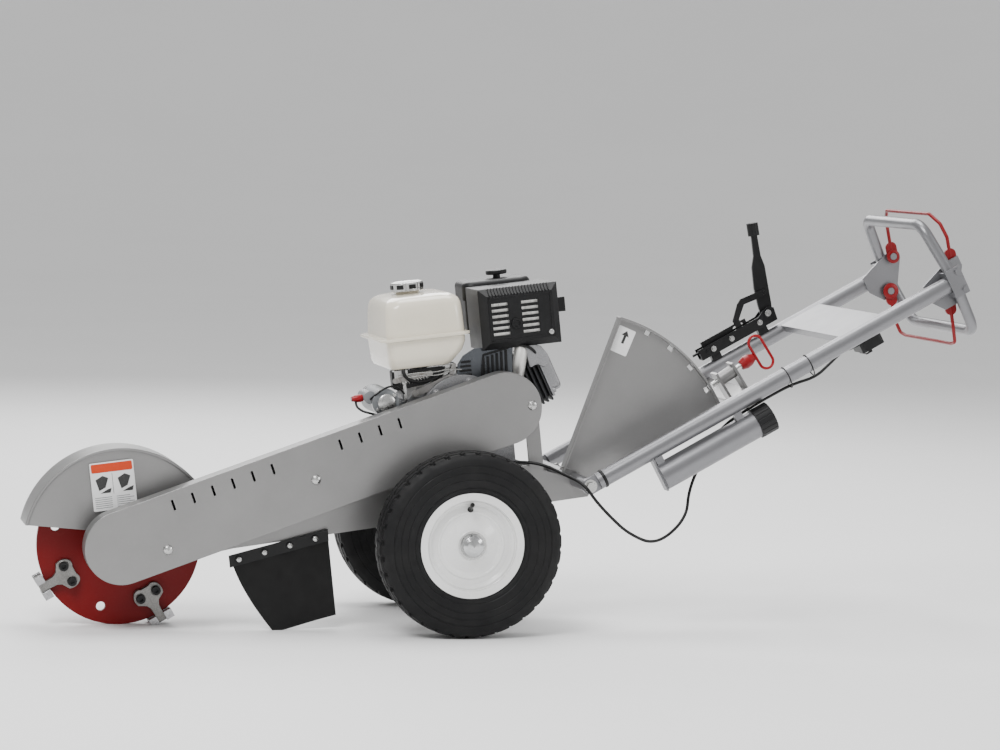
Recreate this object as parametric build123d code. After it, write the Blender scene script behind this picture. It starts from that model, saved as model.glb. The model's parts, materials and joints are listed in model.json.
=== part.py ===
from build123d import *
import math
import os

# Walk-behind stump grinder, millimetres.
# Everything is drawn with the frame level: x towards the grips, y to the far side, z up,
# with the wheel axle as the origin. The finished pieces are then tipped nose-down about the
# axle until the cutter meets the ground, and moved so the ground is z = 0.

# ---- wheels -------------------------------------------------------------------------------
TYRE_R = 203.0
TYRE_HALF_WIDTH = 50.5
WHEEL_Y = 237.0
RIM_SEAT_R = 101.4
RIM_FLANGE_R = 117.0
RIM_HALF_WIDTH = 40.0
RIM_INNER_R = 98.4
SEAT_GAP = 0.05
AXLE_R = 12.7
AXLE_END = 272.0
HUB_BORE_R = AXLE_R + 0.35
HUB_CAP_R = 27.0

# ---- frame --------------------------------------------------------------------------------
PLATE_OUT = 100.0
PLATE_IN = 94.0
DECK_TOP = 120.0
DECK_THICK = 6.0
FRAME_BOTTOM = 35.0
TAIL_X = 318.0
PIVOT_X = 289.0
PIVOT_Z = 87.4
PIVOT_TUBE_R = 15.0
PIVOT_TUBE_END = 204.0
PIVOT_BOLT_R = 6.0

# ---- cutter -------------------------------------------------------------------------------
CUTTER_X = -724.4
CUTTER_Z = 64.7
DISC_R = 178.0
DISC_HALF = 6.0
SHAFT_R = 15.0
TOOTH_STATIONS = (30.0, 120.0, 210.0, 300.0)
TOOTH_BOLT_R = 130.0
TOOTH_BOLT_SPREAD = 8.4
TOOTH_HOLE_R = 6.3
TOOTH_THICK = 15.0
GUARD_R = 213.0
GUARD_HALF = 50.0
SHEET = 3.0

# ---- belt drive ---------------------------------------------------------------------------
BELT_ANGLE = 12.8
BELT_GUARD_R = 79.5
BELT_GUARD_X = -734.4
BELT_GUARD_Z = 73.9
BELT_GUARD_LENGTH = 890.7
BELT_GUARD_FACE = 150.0
CRANK_X = 50.0
CRANK_Z = 252.0
CRANK_R = 12.5
RUN_GAP = 0.3
ENGINE_PULLEY_R = 48.0
CUTTER_PULLEY_R = 58.0
PULLEY_IN = 108.0
PULLEY_OUT = 142.0

# ---- engine -------------------------------------------------------------------------------
TANK_X0 = -112.0
TANK_X1 = 75.0
TANK_Y0 = -90.0
TANK_Y1 = 150.0
TANK_Z0 = 374.0
TANK_SEAM = 442.0
TANK_Z1 = 534.0
FILLER_X = -24.0
FILLER_Y = 30.0
FILLER_R = 24.0
FILLER_RISE = 14.0
FUEL_CAP_R = 37.0
CYLINDER_ANGLE = 19.0
FIN_TOP = 62.0
FIN_BOTTOM = -54.0
HEAD_END = 212.0
SOLENOID_X = -150.0
SOLENOID_Z = 322.0
SOLENOID_R = 14.0
MUFFLER_GUARD_FACE = -92.0

# ---- handle -------------------------------------------------------------------------------
HANDLE_ANGLE = 21.8
TUBE_R = 19.0
TUBE_WALL = 2.5
TUBE_Y = 212.0
TUBE_END = 940.0
RING_PAST_TUBE = 13.0
RING_R = 12.7
LOCK_ANGLE = 4.9
LOCK_Y = -75.0
QUADRANT_R = 376.0
RIM_SHEET = 4.0
LEVER_Y = 210.0
LEVER_U = 645.0
LEVER_V = 57.0
LEVER_ANGLE = 72.3
LEVER_LENGTH = 213.0
CABLE_R = 3.5
RING_U = TUBE_END + RING_PAST_TUBE
CROSS_U0 = TUBE_END - 279.0
CROSS_U1 = TUBE_END - 172.0

# ---- how it stands ------------------------------------------------------------------------
CUTTER_REACH = math.hypot(CUTTER_X, CUTTER_Z)
CUTTER_RISE = math.degrees(math.atan2(CUTTER_Z, -CUTTER_X))
REST_PITCH = CUTTER_RISE + math.degrees(math.asin((TYRE_R - DISC_R) / CUTTER_REACH))


# ---- drawing helpers ----------------------------------------------------------------------
def block(x0, x1, y0, y1, z0, z1):
    """Box from its six faces."""
    middle = Pos((x0 + x1) / 2, (y0 + y1) / 2, (z0 + z1) / 2)
    return middle * Box(x1 - x0, y1 - y0, z1 - z0)


def bar_y(x, z, radius, y0, y1):
    """Round bar along y."""
    return Pos(x, (y0 + y1) / 2, z) * Rot(90, 0, 0) * Cylinder(radius, y1 - y0)


def bar_x(y, z, radius, x0, x1):
    """Round bar along x."""
    return Pos((x0 + x1) / 2, y, z) * Rot(0, 90, 0) * Cylinder(radius, x1 - x0)


def bar_z(x, y, radius, z0, z1):
    """Round bar along z."""
    return Pos(x, y, (z0 + z1) / 2) * Cylinder(radius, z1 - z0)


def stand_up(face, y0, y1):
    """Face drawn as (x, z), given thickness between two y values."""
    return Pos(0, y1, 0) * Rot(90, 0, 0) * extrude(face, y1 - y0, dir=(0, 0, 1))


def plate(points, y0, y1):
    """Flat plate from (x, z) corners between two y values."""
    return stand_up(make_face(Polyline(*points, close=True)), y0, y1)


def capsule(xa, za, xb, zb, radius, y0, y1):
    """Round-ended plate between two (x, z) points."""
    length = math.hypot(xb - xa, zb - za)
    turn = -math.degrees(math.atan2(zb - za, xb - xa))
    body = bar_y(0, 0, radius, y0, y1)
    if length > 0:
        body += bar_y(length, 0, radius, y0, y1)
        body += block(0, length, y0, y1, -radius, radius)
    return Pos(xa, 0, za) * Rot(0, turn, 0) * body


def turned_y(points, x, y, z):
    """Turned piece from (radius, y) corners about an axis along y."""
    return Pos(x, y, z) * revolve(make_face(Polyline(*points, close=True)), Axis.Y)


def bent_rod(points, radius, bend):
    """Round rod through points with rounded corners."""
    path = FilletPolyline(*points, radius=bend)
    return sweep(Plane(origin=path @ 0, z_dir=path % 0) * Circle(radius), path=path)


def cable(points):
    """Cable through points, each corner rounded as widely as its two runs allow."""
    radii = []
    for before, corner, after in zip(points, points[1:], points[2:]):
        one = Vector(*corner) - Vector(*before)
        two = Vector(*after) - Vector(*corner)
        half_turn = math.radians(one.get_angle(two)) / 2
        radii.append(0.45 * min(one.length, two.length) / math.tan(half_turn))
    path = FilletPolyline(*points, radius=radii)
    return sweep(Plane(origin=path @ 0, z_dir=path % 0) * Circle(CABLE_R), path=path)


def polar(radius, angle, x=0.0, z=0.0):
    """(x, z) point at a radius and angle."""
    turn = math.radians(angle)
    return (x + radius * math.cos(turn), z + radius * math.sin(turn))


def mirrored(shape):
    """The same piece on the other side of the machine."""
    return mirror(shape, about=Plane.XZ)


def on_handle(shape):
    """Pieces drawn along the handle tube, x along it from the pivot."""
    return Pos(PIVOT_X, 0, PIVOT_Z) * Rot(0, -HANDLE_ANGLE, 0) * shape


def on_lock(shape):
    """Pieces drawn along the lock pin, x outwards from the pivot."""
    return Pos(PIVOT_X, 0, PIVOT_Z) * Rot(0, -HANDLE_ANGLE - LOCK_ANGLE, 0) * shape


def on_belt(shape):
    """Pieces drawn along the belt guard, x from its cutter end."""
    return Pos(BELT_GUARD_X, 0, BELT_GUARD_Z) * Rot(0, -BELT_ANGLE, 0) * shape


def on_cutter(shape, turn=0.0):
    """Pieces drawn round the cutter shaft, turned about it."""
    return Pos(CUTTER_X, 0, CUTTER_Z) * Rot(0, REST_PITCH - turn, 0) * shape


# ---- wheels -------------------------------------------------------------------------------
def tyre():
    outer = [(101.4, 36), (117.3, 36), (120, 41), (134, 47.3), (155, TYRE_HALF_WIDTH), (175, 49.3),
             (188, 45), (196, 38), (200.5, 25), (TYRE_R, 10)]
    inner = [(192, 10), (190, 22), (184, 33), (174, 40), (155, 42.5), (127, 38), (112, 28),
             (101.4, 25)]
    low = [(r, -y) for r, y in reversed(outer)]
    low_inner = [(r, -y) for r, y in reversed(inner)]
    body = turned_y(outer + low, 0, 0, 0)
    body -= turned_y(inner + low_inner, 0, 0, 0)
    for y in (-27.0, -9.0, 9.0, 27.0):
        body -= turned_y([(196.5, y - 2), (210, y - 3), (210, y + 3), (196.5, y + 2)], 0, 0, 0)
    return body


def rim():
    """Drop-centre rim, and the dished disc with its hub set in it; -y is the outer side."""
    lip, bead = RIM_HALF_WIDTH, RIM_HALF_WIDTH - 4
    barrel = [(RIM_FLANGE_R, -lip), (RIM_FLANGE_R, -bead), (RIM_SEAT_R, -bead), (RIM_SEAT_R, -15),
              (92, -10), (92, 10), (RIM_SEAT_R, 15), (RIM_SEAT_R, bead), (RIM_FLANGE_R, bead),
              (RIM_FLANGE_R, lip), (RIM_INNER_R, lip), (RIM_INNER_R, 13), (89, 8), (89, -8),
              (RIM_INNER_R, -13), (RIM_INNER_R, -lip)]
    dish_r = RIM_INNER_R - SEAT_GAP
    dish = [(dish_r, -30), (86, -22), (60, -24), (38, -33), (22, -35), (22, -31), (37, -29),
            (59, -20), (87, -18), (dish_r, -26)]
    hub = [(HUB_BORE_R, -35), (23, -35), (23, 45), (HUB_BORE_R, 45)]
    disc = turned_y(dish, 0, 0, 0) + turned_y(hub, 0, 0, 0)
    return Compound(children=[turned_y(barrel, 0, 0, 0), disc])


def hub_cap():
    outside = [(0, -54), (14, -52.5), (22, -48), (26, -42), (HUB_CAP_R, -35), (0, -35)]
    inside = [(0, -50), (12, -48.5), (19, -45), (22, -40), (23, -35), (0, -35)]
    return turned_y(outside, 0, 0, 0) - turned_y(inside, 0, 0, 0)


def axle():
    """Axle bar with its collars, and the two hanger plates that carry it."""
    bar = bar_y(0, 0, AXLE_R, -AXLE_END, AXLE_END)
    for side in (-1, 1):
        bar += bar_y(0, 0, 20, *sorted((side * 185.0, side * 191.0)))
    hanger = plate([(-62, 96), (62, 96), (40, -22), (-40, -22)], -108, -PLATE_OUT)
    hanger -= bar_y(0, 0, AXLE_R, -120, 0)
    return Compound(children=[bar, hanger, mirrored(hanger)])


# ---- frame --------------------------------------------------------------------------------
def frame_plate(near):
    """Side plate: cutter arm at the left, deck in the middle, handle tail at the right."""
    edge = [(CUTTER_X, 12.7), (-490, FRAME_BOTTOM), (TAIL_X - 6, 48), (TAIL_X, 56), (TAIL_X, 80),
            (300, 104), (268, 98), (179, 134), (124, 134), (118, DECK_TOP), (-560, DECK_TOP),
            (CUTTER_X, 116.7)]
    sheet = plate(edge, PLATE_IN, PLATE_OUT)
    sheet += bar_y(CUTTER_X, CUTTER_Z, 52, PLATE_IN, PLATE_OUT)
    sheet -= bar_y(CUTTER_X, CUTTER_Z, 22, PLATE_IN - 1, PLATE_OUT + 1)
    sheet -= bar_y(PIVOT_X, PIVOT_Z, PIVOT_TUBE_R, PLATE_IN - 1, PLATE_OUT + 1)
    if near:
        return mirrored(sheet)
    return sheet


def engine_deck():
    """Deck under the engine with its front lip, and two box bars between the side plates."""
    deck = block(-210, 172, -PLATE_IN, PLATE_IN, DECK_TOP - DECK_THICK, DECK_TOP)
    deck += block(-210, -204, -PLATE_IN, PLATE_IN, 84, DECK_TOP)
    for x in (-30.0, 125.0):
        for y in (-45.0, 45.0):
            deck -= block(x - 14, x + 14, y - 4.5, y + 4.5, 100, 130)
    front = block(-470, -430, -PLATE_IN, PLATE_IN, 62, 102)
    front -= block(-467, -433, -PLATE_IN - 1, PLATE_IN + 1, 65, 99)
    rear = block(200, 232, -PLATE_IN, PLATE_IN, 56, 88)
    rear -= block(203, 229, -PLATE_IN - 1, PLATE_IN + 1, 59, 85)
    return Compound(children=[deck, front, rear])


def pivot_tube():
    tube = bar_y(PIVOT_X, PIVOT_Z, PIVOT_TUBE_R, -PIVOT_TUBE_END, PIVOT_TUBE_END)
    return tube - bar_y(PIVOT_X, PIVOT_Z, PIVOT_BOLT_R, -210, 210)


def pivot_bolts():
    bolt = bar_y(PIVOT_X, PIVOT_Z, PIVOT_BOLT_R, -219, -160)
    head = extrude(RegularPolygon(10, 6), 7)
    bolt += Pos(PIVOT_X, -219, PIVOT_Z) * Rot(90, 0, 0) * head
    return Compound(children=[bolt, mirrored(bolt)])


def guard_strut():
    """Upright strip from the tail of the near plate to the belt guard."""
    slope = (134 - 98) / (268 - 179)
    foot = [(x, 134 - slope * (x - 179)) for x in (185, 217)]
    strip = plate([foot[0], foot[1], (217, 292), (185, 292)], -PLATE_OUT, -PLATE_IN)
    return strip - bar_y(192.5, 271.7, 5, -120, -80)


def quadrant():
    """Sector plate on the pivot tube; its rim is drilled for the lock pin."""
    px, pz = PIVOT_X, PIVOT_Z
    arc = [polar(QUADRANT_R - RIM_SHEET, a, px, pz) for a in [20 + 3 * i for i in range(17)]]
    lower = [(px + 14, pz - 17), (px - 16, pz - 17), (px - 24, pz + 22)]
    web = plate(lower + arc[::-1], LOCK_Y - 3, LOCK_Y + 3)
    width = (LOCK_Y - 15, LOCK_Y + 15)
    rim_out = stand_up(Circle(QUADRANT_R), *width) - stand_up(Circle(QUADRANT_R - 5), -120, 0)
    wedge = plate([(0, 0), polar(600, 19.6), polar(600, 45), polar(600, 68.4)], *width)
    rim_arc = Pos(px, 0, pz) * (rim_out & wedge)
    edge_top = polar(QUADRANT_R - 2, 68, px, pz)
    left = math.degrees(math.atan2(edge_top[1] - lower[2][1], edge_top[0] - lower[2][0]))
    run = math.hypot(edge_top[0] - lower[2][0], edge_top[1] - lower[2][1])
    flange = Pos(lower[2][0], 0, lower[2][1]) * Rot(0, -left, 0)
    flange = flange * block(0, run, *width, -2, 2)
    body = web + rim_arc + flange
    body -= bar_y(px, pz, PIVOT_TUBE_R, -120, 0)
    for raise_angle in (0.0, 10.0, 20.0, 30.0, 40.0):
        turn = HANDLE_ANGLE + LOCK_ANGLE + raise_angle
        if turn > 66:
            continue
        bore = bar_x(LOCK_Y, 0, 7, QUADRANT_R - 16, QUADRANT_R + 6)
        body -= Pos(px, 0, pz) * Rot(0, -turn, 0) * bore
    return body


# ---- cutter -------------------------------------------------------------------------------
def cutter_disc():
    disc = bar_y(0, 0, DISC_R, -DISC_HALF, DISC_HALF)
    disc += bar_y(0, 0, 38, -24, 24)
    disc -= bar_y(0, 0, SHAFT_R, -40, 40)
    for station in TOOTH_STATIONS:
        x, z = polar(143, station + 45)
        disc -= bar_y(x, z, 10, -20, 20)
        for spread in (-TOOTH_BOLT_SPREAD, TOOTH_BOLT_SPREAD):
            x, z = polar(TOOTH_BOLT_R, station + spread)
            disc -= bar_y(x, z, TOOTH_HOLE_R, -20, 20)
    return on_cutter(disc)


def tooth():
    """One tooth block on the near face, pointing along +x: shoe, neck, head and carbide tip."""
    y0, y1 = -DISC_HALF - TOOTH_THICK, -DISC_HALF
    shoe = plate([(112, -26), (120, -32), (142, -30), (148, -22), (148, 22), (142, 30),
                  (120, 32), (112, 26)], y0, y1)
    neck = plate([(146, -13), (182, -9), (182, 9), (146, 13)], y0, y1)
    head = block(180, 195, y0 - 5, y1, -25, 25)
    tip = block(177, 197, y0 - 9, y0 - 1, -28, -8) + block(177, 197, y0 - 9, y0 - 1, 8, 28)
    body = shoe + neck + head + tip
    for spread in (-TOOTH_BOLT_SPREAD, TOOTH_BOLT_SPREAD):
        x, z = polar(TOOTH_BOLT_R, spread)
        body -= bar_y(x, z, TOOTH_HOLE_R, -40, 0)
    return body


def cutter_teeth():
    near = tooth()
    far = mirrored(near)
    return Compound(children=[on_cutter(t, s) for s in TOOTH_STATIONS for t in (near, far)])


def tooth_bolts():
    """Socket bolts clamping each pair of teeth through the disc."""
    pieces = []
    top = DISC_HALF + TOOTH_THICK
    for station in TOOTH_STATIONS:
        for spread in (-TOOTH_BOLT_SPREAD, TOOTH_BOLT_SPREAD):
            x, z = polar(TOOTH_BOLT_R, spread)
            bolt = bar_y(x, z, 6, -top, top)
            bolt += bar_y(x, z, 9.5, -top - 10, -top)
            bolt += bar_y(x, z, 9.5, top, top + 8)
            socket = extrude(RegularPolygon(5, 6), 6)
            bolt -= Pos(x, -top - 4, z) * Rot(90, 0, 0) * socket
            pieces.append(on_cutter(bolt, station))
    return Compound(children=pieces)


def cutter_shaft():
    return bar_y(CUTTER_X, CUTTER_Z, SHAFT_R, -PULLEY_OUT, 112)


def cutter_bearings():
    """Flanged bearing on the inner face of each frame arm."""
    unit = bar_y(0, 0, 38, -PLATE_IN, -66) + bar_y(0, 0, 50, -PLATE_IN, -86)
    unit -= bar_y(0, 0, SHAFT_R + 0.3, -100, -60)
    unit = Pos(CUTTER_X, 0, CUTTER_Z) * unit
    return Compound(children=[unit, mirrored(unit)])


def pulley(radius, bore):
    """Two-groove belt pulley, near side of the machine."""
    mid = (PULLEY_IN + PULLEY_OUT) / 2
    edge = [(bore, -PULLEY_OUT), (radius, -PULLEY_OUT), (radius, -PULLEY_OUT + 2),
            (radius - 10, -mid - 5), (radius - 10, -mid - 4), (radius, -mid - 1),
            (radius, -mid + 1), (radius - 10, -mid + 4), (radius - 10, -mid + 5),
            (radius, -PULLEY_IN - 2), (radius, -PULLEY_IN), (bore, -PULLEY_IN)]
    return turned_y(edge, 0, 0, 0)


def cutter_pulley():
    return Pos(CUTTER_X, 0, CUTTER_Z) * pulley(CUTTER_PULLEY_R, SHAFT_R)


def drive_belt():
    """Twin-rib belt round both pulleys, clear of the groove walls."""
    span = math.hypot(CRANK_X - CUTTER_X, CRANK_Z - CUTTER_Z)
    angle = math.degrees(math.atan2(CRANK_Z - CUTTER_Z, CRANK_X - CUTTER_X))
    mid = (PULLEY_IN + PULLEY_OUT) / 2
    lean = math.asin((CUTTER_PULLEY_R - ENGINE_PULLEY_R) / span)

    def loop(grow, y0, y1):
        ra, rb = CUTTER_PULLEY_R + grow, ENGINE_PULLEY_R + grow
        sl, cl = math.sin(lean), math.cos(lean)
        web = plate([(ra * sl, ra * cl), (span + rb * sl, rb * cl), (span + rb * sl, -rb * cl),
                     (ra * sl, -ra * cl)], y0, y1)
        return web + bar_y(0, 0, ra, y0, y1) + bar_y(span, 0, rb, y0, y1)

    belt = loop(7, -mid - 13, -mid + 13) - loop(0.5, -mid - 14, -mid + 14)
    return Pos(CUTTER_X, 0, CUTTER_Z) * Rot(0, -angle, 0) * belt


# ---- guards -------------------------------------------------------------------------------
def cutter_guard():
    """Half drum over the cutter, open underneath, with stand-offs to the frame arms."""
    half = GUARD_HALF + SHEET
    drum = bar_y(0, 0, GUARD_R, -half, half)
    drum -= bar_y(0, 0, GUARD_R - SHEET, -GUARD_HALF, GUARD_HALF)
    below = plate([(-400, 114), (400, -57), (400, -400), (-400, -400)], -90, 90)
    drum -= below
    for y0, y1 in ((-half - 4, -half), (half, half + 4)):
        ring = bar_y(0, 0, GUARD_R, y0, y1) - bar_y(0, 0, GUARD_R - 6, y0 - 1, y1 + 1)
        drum += ring - below
    shell = Pos(CUTTER_X, 0, CUTTER_Z) * drum
    for x, z in ((-548.0, 98.0), (-632.0, 104.0)):
        shell += bar_y(x, z, 9, -PLATE_IN, -half + 1) + bar_y(x, z, 9, half - 1, PLATE_IN)
    return shell


def belt_tray(grow, y0, y1):
    return capsule(0, 0, BELT_GUARD_LENGTH, 0, BELT_GUARD_R + grow, y0, y1)


GUARD_BOLTS = ((-637.6, 57.7), (-302.7, 167.9), (192.5, 271.7))
VENT_LEFT = tuple(133.0 + 45.5 * i for i in range(6))
VENT_RIGHT = tuple(517.0 + 46.0 * i for i in range(4))


def belt_guard():
    """Round-ended tray over the belt with two groups of slots."""
    tray = belt_tray(0, -BELT_GUARD_FACE, -PLATE_OUT - SHEET)
    tray -= belt_tray(-SHEET, -BELT_GUARD_FACE + SHEET, -PLATE_OUT)
    for s in VENT_LEFT + VENT_RIGHT:
        tray -= capsule(s, 40.5, s, 59.5, 2.5, -BELT_GUARD_FACE - 1, -BELT_GUARD_FACE + 4)
    tray = on_belt(tray)
    for x, z in GUARD_BOLTS:
        tray -= bar_y(x, z, 5, -160, -140)
    return tray


def belt_guard_back():
    """Back sheet of the belt guard, open round both shafts, and the strut that holds it up."""
    back = on_belt(belt_tray(0, -PLATE_OUT - SHEET, -PLATE_OUT))
    back -= bar_y(CUTTER_X, CUTTER_Z, 24, -110, -90)
    back -= bar_y(CRANK_X, CRANK_Z, 34, -110, -90)
    for x, z in GUARD_BOLTS:
        back -= bar_y(x, z, 5, -110, -90)
    return Compound(children=[back, guard_strut()])


def belt_guard_bolts():
    """Domed bolts through the belt guard; the long spacers hold its face off the back sheet."""
    pieces = []
    dome = [(0, -BELT_GUARD_FACE - 5.5), (5, -BELT_GUARD_FACE - 5), (9, -BELT_GUARD_FACE - 3),
            (11, -BELT_GUARD_FACE), (0, -BELT_GUARD_FACE)]
    for x, z in GUARD_BOLTS:
        inner = -PLATE_OUT if x < -600 else -PLATE_IN + 6
        bolt = bar_y(x, z, 5, -BELT_GUARD_FACE, inner)
        bolt += bar_y(x, z, 8, -BELT_GUARD_FACE + SHEET, -PLATE_OUT - SHEET)
        pieces.append(bolt + turned_y(dome, x, 0, z))
    return Compound(children=pieces)


FLAP_TOP = 0.137


def flap_z(x, offset):
    return 11.5 + FLAP_TOP * (x + 482) + offset


def chip_flap():
    """Rubber flap hanging beside the cutter on the near side."""
    edge = [(-500, flap_z(-500, 12)), (-499, -3), (-484, -61), (-466, -101), (-423, -157),
            (-281, -139), (-281, flap_z(-281, 12))]
    return plate(edge, -PLATE_OUT - 6, -PLATE_OUT)


def flap_strip():
    """Steel strip and four bolts clamping the top edge of the flap."""
    strip = plate([(-503, flap_z(-503, -13)), (-281, flap_z(-281, -13)),
                   (-281, flap_z(-281, 13)), (-503, flap_z(-503, 13))],
                  -PLATE_OUT - 10, -PLATE_OUT - 6)
    for x in (-482.0, -425.0, -368.0, -311.0):
        strip += bar_y(x, flap_z(x, 0), 7, -PLATE_OUT - 15, -PLATE_OUT - 9)
    return strip


# ---- engine -------------------------------------------------------------------------------
def engine_block():
    """Crankcase with feet, round shaft cover and two bosses."""
    case = block(-68, 165, -60, 80, DECK_TOP + 8, 330)
    case = chamfer(case.edges().filter_by(Axis.Y).group_by(Axis.Z)[-1], 26)
    case += block(-78, 172, -78, 84, DECK_TOP, DECK_TOP + 10)
    case += bar_y(CRANK_X, CRANK_Z, 98, -84, -60) + bar_y(CRANK_X, CRANK_Z, 60, -92, -84)
    for angle in (20, 75, 130, 185, 240, 300):
        x, z = polar(84, angle, CRANK_X, CRANK_Z)
        case += bar_y(x, z, 8, -88, -60)
    return case - bar_y(CRANK_X, CRANK_Z, CRANK_R + RUN_GAP, -100, 100)


def along_cylinder(shape):
    return Pos(CRANK_X, 0, CRANK_Z) * Rot(0, -CYLINDER_ANGLE, 0) * shape


def cylinder():
    """Finned cylinder barrel and head, leaning towards the handle."""
    body = block(118, HEAD_END, -42, 48, -46, 52)
    for i in range(8):
        s = 128 + 11 * i
        body += block(s, s + 4, -62, 66, FIN_BOTTOM, FIN_TOP)
    case = Rot(0, CYLINDER_ANGLE, 0) * Pos(-CRANK_X, 0, -CRANK_Z) * engine_block()
    return along_cylinder(body - case)


def valve_cover():
    cover = block(HEAD_END, HEAD_END + 30, -48, 52, -42, 48)
    cover = fillet(cover.edges().filter_by(Axis.X), 16)
    cover = fillet(cover.faces().sort_by(Axis.X)[-1].edges(), 8)
    cover += block(HEAD_END, HEAD_END + 5, -56, 60, -48, 56)
    for y, z in ((-46, -38), (-46, 46), (50, -38), (50, 46)):
        cover += bar_x(y, z, 6, HEAD_END, HEAD_END + 12)
    return along_cylinder(cover)


def recoil_cover():
    """Fan housing and recoil starter on the far side."""
    edge = [(0, 168), (46, 168), (54, 160), (60, 148), (92, 142), (104, 132), (106, 80),
            (100, 80), (99, 128), (90, 137), (56, 143), (44, 163), (0, 163)]
    housing = turned_y(edge, CRANK_X, 0, CRANK_Z)
    for angle in range(0, 360, 24):
        x, z = polar(76, angle, CRANK_X, CRANK_Z)
        slot = Pos(x, 0, z) * Rot(0, -angle, 0) * block(-12, 12, 130, 160, -2.5, 2.5)
        housing -= slot
    grip = bar_x(150, CRANK_Z + 96, 9, CRANK_X - 62, CRANK_X - 6)
    neck = bar_x(150, CRANK_Z + 96, 5, CRANK_X - 8, CRANK_X + 10)
    boss = block(CRANK_X + 8, CRANK_X + 40, 136, 160, CRANK_Z + 76, CRANK_Z + 106)
    return housing + boss + neck + grip


def crankshaft():
    """Output shaft with the fan at its far end."""
    shaft = bar_y(CRANK_X, CRANK_Z, CRANK_R, -PULLEY_OUT - 2, 120)
    fan = bar_y(CRANK_X, CRANK_Z, 88, 92, 104)
    for angle in range(0, 360, 30):
        x, z = polar(66, angle, CRANK_X, CRANK_Z)
        fan += Pos(x, 0, z) * Rot(0, -angle, 0) * block(-18, 18, 104, 122, -2, 2)
    return shaft + fan


def engine_pulley():
    return Pos(CRANK_X, 0, CRANK_Z) * pulley(ENGINE_PULLEY_R, CRANK_R)


def fuel_tank():
    """Two-part pressed tank with a seam flange and filler neck, hollow inside."""
    def shell(grow):
        low = block(TANK_X0 + 12 - grow, TANK_X1 - 12 + grow, TANK_Y0 + 12 - grow,
                    TANK_Y1 - 12 + grow, TANK_Z0 - grow, TANK_SEAM + 1)
        low = fillet(low.edges().filter_by(Axis.Z), 24 + grow)
        top = block(TANK_X0 + 2 - grow, TANK_X1 - 2 + grow, TANK_Y0 + 2 - grow,
                    TANK_Y1 - 2 + grow, TANK_SEAM, TANK_Z1 + grow)
        top = fillet(top.edges().filter_by(Axis.Z), 34 + grow)
        top = fillet(top.faces().sort_by(Axis.Z)[-1].edges(), 22 + grow)
        return low + top
    tank = shell(0)
    seam = block(TANK_X0 - 4, TANK_X1 + 4, TANK_Y0 - 4, TANK_Y1 + 4, TANK_SEAM - 3, TANK_SEAM + 3)
    tank += fillet(seam.edges().filter_by(Axis.Z), 36)
    tank += bar_z(FILLER_X, FILLER_Y, FILLER_R, TANK_Z1 - 8, TANK_Z1 + FILLER_RISE)
    tank -= shell(-4)
    tank -= bar_z(FILLER_X, FILLER_Y, FILLER_R - 4, TANK_Z1 - 20, TANK_Z1 + 30)
    return tank


def tank_bracket():
    """Steel legs under the tank."""
    left = TANK_X0 + 20
    legs = block(left, left + 30, -70, -52, 347, TANK_Z0) + block(-75, -68, -70, -52, 270, 350)
    legs += block(-72, -68, -60, -40, 270, 290)
    post = block(20, 50, -60, -40, 330, TANK_Z0)
    return Compound(children=[legs, post])


def fuel_cap():
    cap = bar_z(FILLER_X, FILLER_Y, FUEL_CAP_R, TANK_Z1 + 5, TANK_Z1 + 26)
    cap -= bar_z(FILLER_X, FILLER_Y, FILLER_R + 0.4, TANK_Z1, TANK_Z1 + FILLER_RISE + RUN_GAP)
    for angle in range(0, 360, 30):
        x, y = polar(FUEL_CAP_R, angle, FILLER_X, FILLER_Y)
        cap -= bar_z(x, y, 3.5, TANK_Z1, TANK_Z1 + 40)
    return cap


def muffler():
    """Silencer box with its pipe down to the head."""
    can = block(128, 276, -72, 26, 410, 512)
    can = fillet(can.edges().filter_by(Axis.X), 26)
    lean = math.radians(CYLINDER_ANGLE)
    foot_s = HEAD_END - 16
    foot_x = CRANK_X + foot_s * math.cos(lean) - FIN_TOP * math.sin(lean)
    foot_z = CRANK_Z + foot_s * math.sin(lean) + FIN_TOP * math.cos(lean)
    pipe = bent_rod([(foot_x, -30, foot_z),
                     (foot_x - 20 * math.sin(lean), -30, foot_z + 20 * math.cos(lean)),
                     (foot_x - 20 * math.sin(lean), -30, foot_z + 44)], 13, 14)
    for x in (150.0, 254.0):
        can += bar_y(x, 461, 5, MUFFLER_GUARD_FACE + SHEET, -70)
    return can + pipe


def muffler_guard():
    """Pressed cover with two columns of louvres and ribs along the top bevel."""
    x0, x1, y0, y1, z0, z1 = 110.0, 291.0, MUFFLER_GUARD_FACE, 36.0, 396.0, 531.0
    cover = block(x0, x1, y0, y1, z0, z1)
    cover = chamfer(cover.faces().sort_by(Axis.Y)[0].edges(), 16)
    hollow = block(x0 + 3, x1 - 3, y0 + 3, y1 + 1, z0 + 3, z1 - 3)
    hollow = chamfer(hollow.faces().sort_by(Axis.Y)[0].edges(), 15)
    cover -= hollow
    cover -= block(x0 + 25, x1 - 25, -60, 20, z0 - 1, z0 + 6)
    for column in (154.0, 222.0):
        for i in range(6):
            z = 430.0 + 13.0 * i
            cover -= block(column - 19, column + 19, y0 - 1, y0 + 5, z - 3.2, z + 3.2)
    cover += block(x1 - 1, x1 + 20, -60, -54, 462, 494)
    return cover


def air_cleaner():
    """Air cleaner behind the muffler with its wing knob on top."""
    body = block(112, 262, 44, 150, 425, 500)
    body = fillet(body.edges().filter_by(Axis.Z), 22)
    lid = block(108, 266, 40, 154, 500, 541)
    lid = fillet(lid.edges().filter_by(Axis.Z), 26)
    lid = fillet(lid.faces().sort_by(Axis.Z)[-1].edges(), 12)
    knob = bar_z(199, 97, 8, 541, 550)
    knob += fillet(bar_z(199, 97, 24, 549, 559).edges(), 3)
    return Compound(children=[body + lid, knob])


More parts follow.
